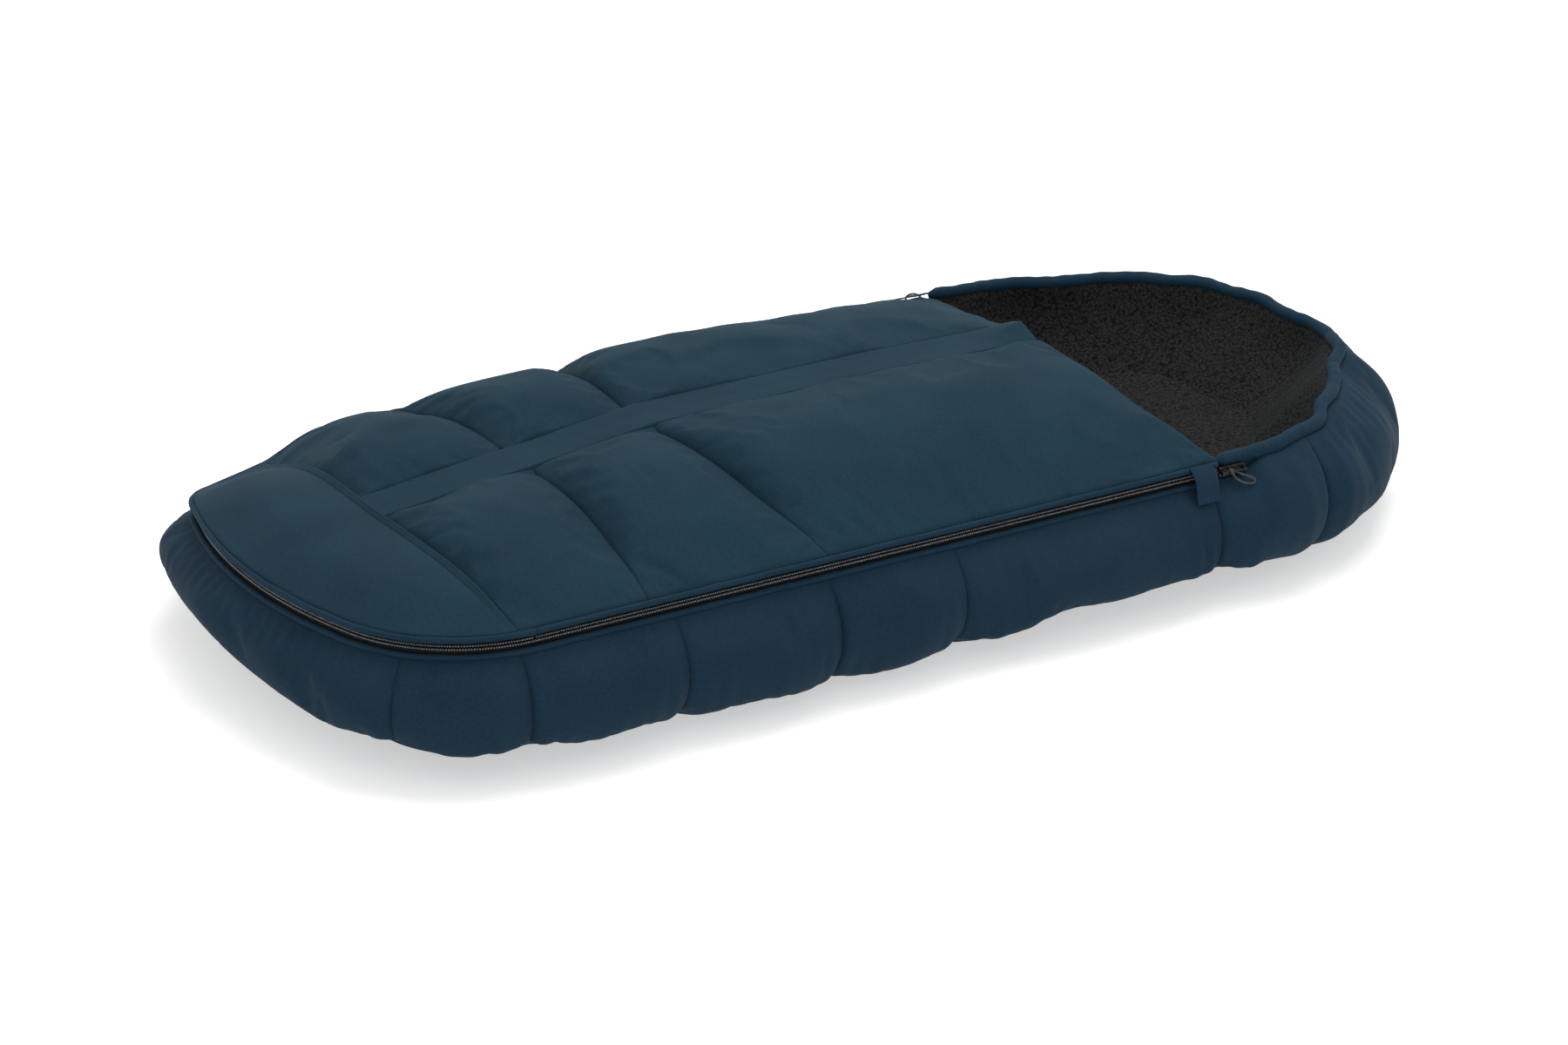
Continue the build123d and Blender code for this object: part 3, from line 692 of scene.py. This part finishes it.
# --- back ---------------------------------------------------------------------------------------
BACK_ROWS = 130
BACK_COLUMNS = 44
PAD_INSET = 41.0
FLEECE_INSET = 36.0
UNDERSIDE_INSET = 33.0
PAD_TOP = 24
PAD_BOTTOM = 2.3
PAD_ROUNDING = 14
# The harness slots: (x, y, width, depth)
SLOTS = [(0, -60, 60, 14), (60, 90, 42, 14), (-60, 90, 42, 14), (60, 145, 42, 14), (-60, 145, 42, 14)]


def back_grid(inset):
    """A grid over the plan of the back, a distance inside the zip line, with lines at the slots' edges."""
    foot, top_end = TOE_Y + inset, HEAD_Y + HALF_WIDTH - inset
    middle = 0.5 * (foot + top_end)
    spread = 0.5 * (top_end - foot) - 0.15
    ys = middle - spread * np.cos(np.linspace(0, math.pi, BACK_ROWS))
    for _, y, _, depth in SLOTS[:1] + SLOTS[1::2]:
        for edge in (y - depth / 2, y + depth / 2):
            ys[np.argmin(np.abs(ys - edge))] = edge
    head_half = np.sqrt(np.maximum((HALF_WIDTH - inset)**2 - np.maximum(ys - HEAD_Y, 0)**2, 0))
    toe_half = np.sqrt(np.maximum((TOE_RADIUS - inset)**2 - (ys - TOE_CENTRE)**2, 0))
    corner_square = (CORNER_RADIUS - inset)**2 - np.minimum(ys - CORNER_Y, 0)**2
    corner_half = CORNER_X + np.sqrt(np.maximum(corner_square, 0))
    toe_limit = TOE_CENTRE - (TOE_RADIUS - inset) * math.cos(TOE_ANGLE)
    half = np.where(ys < toe_limit, toe_half, np.where(ys < CORNER_Y, corner_half, head_half))
    us = np.linspace(-1, 1, BACK_COLUMNS)
    straight = HALF_WIDTH - inset
    for x, _, width, _ in SLOTS[:3]:
        for edge in (x - width / 2, x + width / 2):
            us[np.argmin(np.abs(us - edge / straight))] = edge / straight
    x = us[None, :] * half[:, None]
    y = ys[:, None] + 0 * x
    centre_x = 0.25 * (x[1:, 1:] + x[:-1, 1:] + x[1:, :-1] + x[:-1, :-1])
    centre_y = 0.25 * (y[1:, 1:] + y[:-1, 1:] + y[1:, :-1] + y[:-1, :-1])
    gone = np.zeros(centre_x.shape, bool)
    for slot_x, slot_y, width, depth in SLOTS:
        gone |= (np.abs(centre_x - slot_x) < width / 2) & (np.abs(centre_y - slot_y) < depth / 2)
    return x, y, gone


def slot_gap(x, y):
    """The distance from the nearest harness slot."""
    gaps = []
    for slot_x, slot_y, width, depth in SLOTS:
        gap_x, gap_y = np.abs(x - slot_x) - width / 2, np.abs(y - slot_y) - depth / 2
        gaps.append(np.hypot(np.maximum(gap_x, 0), np.maximum(gap_y, 0)))
    return np.min(gaps, axis=0)


def outline_gap(x, y, inset):
    """The distance inside the bag's outline, round the head too."""
    head_gap = HALF_WIDTH - np.hypot(x, np.maximum(y - HEAD_Y, 0))
    return np.minimum(inside(x, y), head_gap) - inset


x, y, gone = back_grid(PAD_INSET)
edge = np.clip(outline_gap(x, y, PAD_INSET) / PAD_ROUNDING, 0, 1)
round_edge = 1 - np.sqrt(1 - (1 - edge)**2)
pad = patch("back_pad", x, y, PAD_TOP - 9 * round_edge, PAD_BOTTOM + 3 * round_edge, gone)
padded_pieces.append(finish_piece(
    pad, WADDING, "bag", "wadding",
    "back_pad_foot", "back_pad_seat", "back_pad_shoulder", "back_pad_head", "back_pad_slot_blocks",
))
x, y, gone = back_grid(FLEECE_INSET)
gap = outline_gap(x, y, FLEECE_INSET)
flat_at_slots = smooth(slot_gap(x, y) / 25)
turn_up = 22 * np.exp(-np.maximum(gap, 0) / 26) + 9 * smooth((y - 250) / 120)
crown = (turn_up + 2 + 2.2 * ripples(x, y, 47, 150)) * flat_at_slots
lie = patch("back_fleece", x, y, 30 + crown, 24.4 + 0 * x, gone)
padded_pieces.append(finish_piece(lie, FLEECE, "bag", "fleece", "back_lining"))
x, y, gone = back_grid(UNDERSIDE_INSET)
base = patch("underside_sheet", x, y, 2.2 + 0 * x, 0.15 + 0.15 * ripples(x, y, 51, 90), gone)
finish_piece(base, UNDER_CLOTH, "bag", "underside", "underside_panel")

# --- cover --------------------------------------------------------------------------------------
EDGE_INSET = -1.0
EDGE_X = HALF_WIDTH - EDGE_INSET
EDGE_Z = 105.9
DOME_POWER = 2.6
FRONT_POWER = 1.75
TOE_FULLNESS = 2.2
FLAT_PLACE = (-165.0, -375.0)
FLAT_SPREAD = 70.0
FLAT_SHARE = 0.25
FRONT_REACH = 55.0
DOME_HEIGHTS = [(-470, 22), (-368, 24), (-246, 35), (-146, 47), (50, 48), (180, 45), (230, 44)]
PILLOW = 12.5
ROW_GROOVE = 8.0
ROW_RISE = 9.0
ROW_FALL = 20.0
FAR_FRONT_DROP = 9.0
FAR_FLATTER = 6.0
EDGE_FADE = 70.0
SHOULDER = 2.6
SHOULDER_RISE = 5.0
SHOULDER_SINK = 1.2
ROW_CREASE = 0.7
ROW_CREASE_LENGTH = 60.0
PUCKER = 0.5
PUCKER_LENGTH = 26.0
PUCKER_REACH = 22.0
STRIP_SINK = 1.5
STRIP_WRINKLE = 0.35
TENT_HEIGHT = 8.5
TENT_LENGTH = 22.0
TENT_X = -3.0
EDGE_THICKNESS = 3.5
WADDING_THICKNESS = 14.0
THICKNESS_RISE = 16.0
STRIP_THICKNESS = 7.0
FRONT_CENTRE_Y = 187.0
FRONT_RADIUS = 546.0
# Each cross seam of the cover: its place on the middle line and at the zip
CROSS_SEAMS = [(-372.6, -360.0), (-250.0, -259.0), (-150.0, -114.0)]


def cross_seam(number, x):
    """Where a cross seam of the cover runs."""
    middle, edge = CROSS_SEAMS[number]
    return middle + (edge - middle) * (x / HALF_WIDTH)**2


def front_edge(x):
    """Where the cover's hollowed front edge runs."""
    return FRONT_CENTRE_Y + FRONT_RADIUS - np.sqrt(FRONT_RADIUS**2 - x**2)


def dome(x, y):
    """The cover's general crown."""
    depth = np.clip((inside(x, y) - EDGE_INSET) / EDGE_X, 0, 1)
    heights = np.interp(y, *zip(*DOME_HEIGHTS))
    near_front = np.exp(-np.clip(front_edge(x) - y, 0, None) / FRONT_REACH)
    power = DOME_POWER + (FRONT_POWER - DOME_POWER) * near_front
    power = power + TOE_FULLNESS * smooth((-330 - y) / 80)
    far_toe = np.exp(-((x - FLAT_PLACE[0])**2 + (y - FLAT_PLACE[1])**2) / FLAT_SPREAD**2)
    return EDGE_Z + heights * (1 - FLAT_SHARE * far_toe) * (1 - (1 - depth)**power)


def rows_top(x, y, number):
    """The top of one quilted row of the cover."""
    aside = np.clip((np.abs(x) - STRIP_HALF) / (EDGE_X - STRIP_HALF), 0, 1)
    across = np.sin(math.pi * aside**0.9)
    behind = y - cross_seam(number, x)
    rise = puff(behind, ROW_RISE)
    if number < 2:
        rise = rise * puff(cross_seam(number + 1, x) - y, ROW_FALL)
        front = 0 * x
    else:
        front = np.exp(-(front_edge(x) - y) / FRONT_REACH)
    fade = smooth((HALF_WIDTH - np.abs(x)) / EDGE_FADE)
    strip_gap = np.abs(x) - STRIP_HALF
    pillow = PILLOW - FAR_FLATTER * smooth((y + 60) / 120) * smooth(-x / 40)
    pillow = pillow * across * (0.35 + 0.65 * rise) * (1 - 0.95 * front)
    groove = ROW_GROOVE * fade * (1 - rise) * smooth(strip_gap / 9 + 0.35)
    shoulder = SHOULDER * puff(strip_gap, SHOULDER_RISE) - SHOULDER_SINK
    shoulder = shoulder - FAR_FRONT_DROP * front * smooth(-x / 60)
    pucker = PUCKER * ripples(x, y * 1.4, 71 + number, PUCKER_LENGTH) * np.exp(-behind / PUCKER_REACH)
    crease = ROW_CREASE * ripples(x, y, 61 + number, ROW_CREASE_LENGTH) + pucker
    settled = crease * np.minimum(1, (EDGE_X - np.abs(x)) / 12) * rise
    return dome(x, y) + pillow - groove + shoulder * smooth(1.2 - aside * 0.8) * (1 - aside) + settled


def strip_top(x, y):
    """The top of the flat strip along the cover's middle, with its tented front end."""
    to_front = FRONT_CENTRE_Y - y
    tent = TENT_HEIGHT * np.exp(-(to_front / TENT_LENGTH)**2)
    tent = tent * (1 - np.abs(x - TENT_X) / (STRIP_HALF - TENT_X))
    wrinkle = STRIP_WRINKLE * ripples(x * 4, y, 81, 90, 2.2)
    return dome(x, y) - STRIP_SINK + tent + wrinkle * (1 - (x / STRIP_HALF)**2)


def quilt_thickness(x, y, number):
    """How thick the padding is: thin along the seams and at the edges."""
    near = y - cross_seam(number, x)
    if number < 2:
        near = np.minimum(near, cross_seam(number + 1, x) - y)
    else:
        near = np.minimum(near, (front_edge(x) - y) * 0.8)
    wadding = WADDING_THICKNESS * puff(near, THICKNESS_RISE) * puff(np.abs(x) - STRIP_HALF, 14)
    return EDGE_THICKNESS + wadding


LINING_FLOOR = 94.3
LINING_INSET = 4.0
COVER_FLEECE_HALF = 195.5
QUILT_FLOOR = 101.4
FLEECE_GAP = 0.4
FLEECE_PILE = 4.2


def quilt_floor(x, y, top, thickness):
    """The underside of the padding, no lower than the zip's edge."""
    front = np.clip((front_edge(x) - y) / 10, 0, 1)
    return np.minimum(np.maximum(top - thickness, QUILT_FLOOR), top - 2.2 - 1.5 * front)


def rides_cover(obj, material, nodes, folds):
    """Give a piece its material and hide its CAD nodes. One that crosses the fold has its placing baked into
    its mesh and rides no body; the others ride the cover.
    """
    obj.data.materials.append(material)
    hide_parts(*nodes)
    if folds:
        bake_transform(obj)
    else:
        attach(obj, "cover")
    return obj


loose_rows = []
u, v = np.meshgrid(np.linspace(0, 1, 56), np.linspace(0, 1, 48))
u_long, v_long = np.meshgrid(np.linspace(0, 1, 56), np.linspace(0, 1, 120))
for side_name, side in (("right", 1), ("left", -1)):
    for number in range(3):
        across, ahead = (u_long, v_long) if number == 2 else (u, v)
        x = side * (STRIP_HALF + (EDGE_X - STRIP_HALF) * across)
        start = cross_seam(number, x)
        end = cross_seam(number + 1, x) if number < 2 else front_edge(x)
        y = start + (end - start) * ahead
        top = rows_top(x, y, number)
        bottom = quilt_floor(x, y, top, quilt_thickness(x, y, number))
        quilt = patch(f"quilt_row_{side_name}_{number + 1}", x, y, top, bottom)
        loose_rows.append((quilt, free_grid(*x.shape, 2 * x.size, 1)))
        padded_pieces.append(quilt)

loosen(loose_rows, pressure=0.5, spare=0.012, cap=2.2)
for quilt, _ in loose_rows:
    row_name = quilt.name.replace("_row", "")
    rides_cover(quilt, COVER_CLOTH, [row_name], row_name.endswith("_1"))

strip_v, strip_u = np.meshgrid(np.linspace(0, 1, 200), np.linspace(-1, 1, 17), indexing="ij")
x = STRIP_HALF * strip_u
y = cross_seam(0, x) + (front_edge(x) - cross_seam(0, x)) * strip_v
top = strip_top(x, y)
strip = patch("middle_strip", x, y, top, quilt_floor(x, y, top, STRIP_THICKNESS))
rides_cover(strip, COVER_CLOTH, ["centre_strip"], True)

lining_v, lining_u = np.meshgrid(np.linspace(0, 1, 150), np.linspace(-1, 1, 61), indexing="ij")
x = COVER_FLEECE_HALF * lining_u
front = front_edge(x) - 0.8
y = cross_seam(0, x) + 1 + (front - cross_seam(0, x) - 1) * lining_v
number = np.where(y < cross_seam(1, x), 0, np.where(y < cross_seam(2, x), 1, 2))
top = np.choose(number, [rows_top(x, y, 0), rows_top(x, y, 1), rows_top(x, y, 2)])
thickness = np.choose(number, [quilt_thickness(x, y, k) for k in range(3)])
in_strip = np.abs(x) < STRIP_HALF
top = np.where(in_strip, strip_top(x, y), top)
thickness = np.where(in_strip, STRIP_THICKNESS, thickness)
lining_top = quilt_floor(x, y, top, thickness) - FLEECE_GAP
lining_bottom = np.minimum(np.maximum(lining_top - FLEECE_PILE, LINING_FLOOR), lining_top - 1.0)
inner = patch("cover_fleece", x, y, lining_top, lining_bottom)
rides_cover(inner, FLEECE, ["cover_lining"], True)

# --- toe panel ----------------------------------------------------------------------------------
MIDDLE_Y = -60.0
TOE_PILLOW = 4.0
# Along its seam the panel has a rolled ridge, a dip at the seam and a row of stitching: (depth, place, width)
RIDGE = (2.4, 2.6, 2.2)
STITCHING = (1.3, 7.6, 1.1)
SEAM_DIP = 2.6
SEAM_DIP_WIDTH = 1.2
ahead_steps = np.concatenate([np.linspace(0, 0.86, 36), np.linspace(0.87, 1, 34)])
spread, ahead = np.meshgrid(np.linspace(-1, 1, 140), ahead_steps)
toe_quilt_run = CORNER_RUN - CORNER_RADIUS * math.asin((CORNER_Y - CROSS_SEAMS[0][1]) / CORNER_RADIUS)
toe_x, toe_y, toe_out_x, toe_out_y = zip_line(spread * toe_quilt_run)
rim_x, rim_y = toe_x - EDGE_INSET * toe_out_x, toe_y - EDGE_INSET * toe_out_y
seam_x = EDGE_X * spread
seam_y = cross_seam(0, seam_x)
x = rim_x + (seam_x - rim_x) * ahead
y = rim_y + (seam_y - rim_y) * ahead
seam_near = cross_seam(0, x) - y
ridge, stitching = (
    depth * np.exp(-((seam_near - place) / width)**2) for depth, place, width in (RIDGE, STITCHING)
)
ridge = ridge - SEAM_DIP * np.exp(-seam_near / SEAM_DIP_WIDTH) - stitching
top = dome(x, y) + (TOE_PILLOW * puff(seam_near, 30) + ridge + 2.0) * smooth(inside(x, y) / 40)
top += 0.8 * ripples(x, y, 91, 70) * smooth(inside(x, y) / 25) * puff(seam_near, 10)
thickness = 3 + 13 * puff(seam_near, 16) * smooth(inside(x, y) / 30)
toe = patch("toe_quilt", x, y, top, np.maximum(top - thickness, QUILT_FLOOR))
finish_piece(toe, COVER_CLOTH, "bag", "cover_fabric", "toe_panel")
padded_pieces.append(toe)
under = np.maximum(top - thickness, QUILT_FLOOR) - FLEECE_GAP
tucked = LINING_INSET / np.maximum(np.hypot(x, y - MIDDLE_Y), 1)
toe_inner = patch(
    "toe_fleece", x * (1 - tucked), MIDDLE_Y + (y - MIDDLE_Y) * (1 - tucked), under,
    np.minimum(np.maximum(under - FLEECE_PILE, LINING_FLOOR), under - 1.0),
)
padded_pieces.append(finish_piece(toe_inner, FLEECE, "bag", "fleece", "toe_lining"))

# --- zip ----------------------------------------------------------------------------------------
TOOTH_PITCH = 1.9
TOOTH_PROFILE = [(0.0, 0.45), (0.12, 0.80), (0.88, 0.80), (1.0, 0.45)]
TOOTH_SIDES = 8
COIL_SINK = 1.0
TAPE_STEP = 4
BEAD_OUT = 2.6
BEAD_RADIUS = 2.25
BEAD_WANDER = 0.25


def zip_chain(name, start, end, low, high, phase, body, nodes):
    """A row of coil turns from the low to the high edge."""
    count = int((end - start) / TOOTH_PITCH)
    centres = start + (np.arange(count) + 0.3 + phase) * (end - start) / (count + 0.6)
    centre_x, centre_y, out_x, out_y = zip_line(centres)
    angle = np.linspace(0, 2 * math.pi, TOOTH_SIDES, endpoint=False)
    points, faces, uvs = [], [], []
    sunk = COIL_SINK * (1 - smooth((from_toe(centres) - 170) / 90))
    for x, y, ox, oy, depth in zip(centre_x, centre_y, out_x, out_y, sunk):
        first = len(points)
        for level, width in TOOTH_PROFILE:
            for turn in angle:
                aside, outward = width * math.cos(turn), 1.0 - depth + 1.15 * width / 0.8 * math.sin(turn)
                z = low + level * (high - low)
                points.append((x + ox * outward - oy * aside, y + oy * outward + ox * aside, z))
        rings = len(TOOTH_PROFILE)
        for ring in range(rings - 1):
            for k in range(TOOTH_SIDES):
                k2 = (k + 1) % TOOTH_SIDES
                a, b = first + ring * TOOTH_SIDES, first + (ring + 1) * TOOTH_SIDES
                faces.append((a + k, a + k2, b + k2, b + k))
        faces.append(tuple(first + k for k in reversed(range(TOOTH_SIDES))))
        faces.append(tuple(first + (rings - 1) * TOOTH_SIDES + k for k in range(TOOTH_SIDES)))
    for face in faces:
        uvs += [(points[c][0] + points[c][1], points[c][2]) for c in face]
    return finish_piece(new_mesh(name, points, faces, uvs), COIL, body, "zip_coil", *nodes)


def tape(name, start, end, low, high, body, nodes):
    """A woven zip tape."""
    runs = np.linspace(start, end, int((end - start) / TAPE_STEP) + 2)
    middle = (low + high) / 2
    out = np.array([[-1.2, -0.2, 0.1, 0.1, -0.2, -1.2]])
    z = np.array([[low, low, middle - 1, middle + 1, high, high]])
    return finish_piece(swept(name, runs, out, z + 0 * runs[:, None]), TAPE_CLOTH, body, "zip_tape", *nodes)


def piping(name, start, end, z, body, nodes):
    """A corded bead of cloth beside the zip, slightly uneven where it is stitched."""
    runs = np.linspace(start, end, int((end - start) / TAPE_STEP) + 2)
    out = BEAD_OUT + BEAD_WANDER * ripples(runs, 0 * runs, 97, 60)
    radius = BEAD_RADIUS + 0.1 * ripples(runs, 0 * runs, 99, 16)
    return finish_piece(tube(name, runs, out, z, radius, 14), TRIM_CLOTH, body, "trim", *nodes)


BASE_COIL = (95.0, 96.2)
TOP_COIL = (97.8, 98.9)
BASE_TAPE = (88.0, 96.3)
TOP_TAPE = (97.7, 105.6)
BASE_BEAD_Z = 90.3
TOP_BEAD_Z = 103.3
base_end = along(CHAIN_END_Y)
cover_start = CORNER_RUN + FOLD_GAP
cover_end = along(COVER_END_Y)
zip_chain("base_coil", -base_end, base_end, *BASE_COIL, 0.0, "bag", ["base_zip_chain"])
zip_chain("toe_coil", -CORNER_RUN, CORNER_RUN, *TOP_COIL, 0.5, "bag", ["toe_zip_chain"])
tape("base_tape", -base_end, base_end, *BASE_TAPE, "bag", ["base_zip_tape"])
tape("toe_tape", -CORNER_RUN, CORNER_RUN, *TOP_TAPE, "bag", ["toe_zip_tape"])
piping("base_bead", -along(SIDE_SEAMS[-1]), along(SIDE_SEAMS[-1]), BASE_BEAD_Z, "bag", ["base_piping"])
piping("toe_bead", -CORNER_RUN, CORNER_RUN, TOP_BEAD_Z, "bag", ["toe_piping"])
for side, low, high in both_sides(cover_start, cover_end):
    zip_chain(f"cover_coil_{side}", low, high, *TOP_COIL, 0.5, "cover", [f"cover_zip_chain_{side}"])
    tape(f"cover_tape_{side}", low, high, *TOP_TAPE, "cover", [f"cover_zip_tape_{side}"])
for side, low, high in both_sides(cover_start, along(224)):
    piping(f"cover_bead_{side}", low, high, TOP_BEAD_Z, "cover", [f"cover_piping_{side}"])


# --- ribbon tabs --------------------------------------------------------------------------------
RIBBON_Y = 208
RIBBON_HALF = 10


def ribbon(name, side, profile, body, node_name):
    """A folded ribbon across the zip: its profile is (outside the zip line, height)."""
    line = np.array(profile, float)
    for _ in range(3):
        near, far = 0.75 * line[:-1] + 0.25 * line[1:], 0.25 * line[:-1] + 0.75 * line[1:]
        line = np.concatenate([line[:1], np.stack([near, far], 1).reshape(-1, 2), line[-1:]])
    away = np.gradient(line, axis=0)
    away = np.stack([-away[:, 1], away[:, 0]], 1) / np.linalg.norm(away, axis=1, keepdims=True)
    across = RIBBON_HALF * np.array([-1, -0.97, -0.5, 0, 0.5, 0.97, 1])
    thick = np.array([0.25, 0.5, 0.45, 0.42, 0.45, 0.5, 0.25])
    bow = 0.5 * (across / RIBBON_HALF)**2
    rows = []
    for point, up in zip(line, away):
        loop = [(a, point - up * (b + t)) for a, b, t in zip(across, bow, thick)]
        loop += [(a, point - up * (b - t)) for a, b, t in list(zip(across, bow, thick))[::-1]]
        rows.append([(side * (HALF_WIDTH + p[0]), RIBBON_Y + a, p[1]) for a, p in loop])
    runs = np.concatenate([[0], np.cumsum(np.linalg.norm(np.diff(line, axis=0), axis=1))])
    return finish_piece(swept_points(name, np.array(rows), runs), RIBBON_CLOTH, body, "ribbon", node_name)


ribbon("tab_over_zip", 1, [(4.2, 106.6), (8, 104.4), (13.2, 99), (15.2, 92), (15.6, 86.2), (17.6, 81.4)],
       "tab_right", "tab_right")
ribbon("tab_folded_back", -1, [(4.2, 107.0), (0, 108.6), (-6, 111.2), (-16, 115.6), (-24, 118.6)],
       "tab_left", "tab_left")

# --- carried-over CAD nodes ---------------------------------------------------------------------
CAD_MATERIALS = {
    "slider_right": BLACK_METAL,
    "slider_left": BLACK_METAL,
    "zip_stop_right": BLACK_METAL,
    "zip_stop_left": BLACK_METAL,
    "harness_slot_bindings": SLOT_CLOTH,
}
for name, material in CAD_MATERIALS.items():
    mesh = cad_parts[name].data
    mesh.materials.clear()
    mesh.materials.append(material)

# --- setting ------------------------------------------------------------------------------------
FLOOR_HALF = 30
FLOOR_Z = -0.0006
floor = bpy.data.objects.new("floor", bpy.data.meshes.new("floor"))
corners = [(x * FLOOR_HALF, y * FLOOR_HALF, FLOOR_Z) for x, y in ((-1, -1), (1, -1), (1, 1), (-1, 1))]
floor.data.from_pydata(corners, [], [(0, 1, 2, 3)])
floor.data.materials.append(FLOOR)
bpy.context.scene.collection.objects.link(floor)


def area_light(name, place, size, power):
    """A soft square lamp that faces the object."""
    lamp = bpy.data.objects.new(name, bpy.data.lights.new(name, "AREA"))
    lamp.data.size = size
    lamp.data.energy = power
    lamp.location = place
    lamp.rotation_euler = (Vector((0, 0, 0.08)) - Vector(place)).to_track_quat("-Z", "Y").to_euler()
    bpy.context.scene.collection.objects.link(lamp)


area_light("key", place=(-0.5, 0.7, 2.6), size=2.2, power=62)
area_light("fill", place=(2.2, -1.6, 1.6), size=2.5, power=14)
world = bpy.data.worlds.new("studio")
world.use_nodes = True
world.node_tree.nodes["Background"].inputs["Color"].default_value = (1, 1, 1, 1)
world.node_tree.nodes["Background"].inputs["Strength"].default_value = 0.8
bpy.context.scene.world = world
bpy.context.scene.view_settings.view_transform = "Standard"
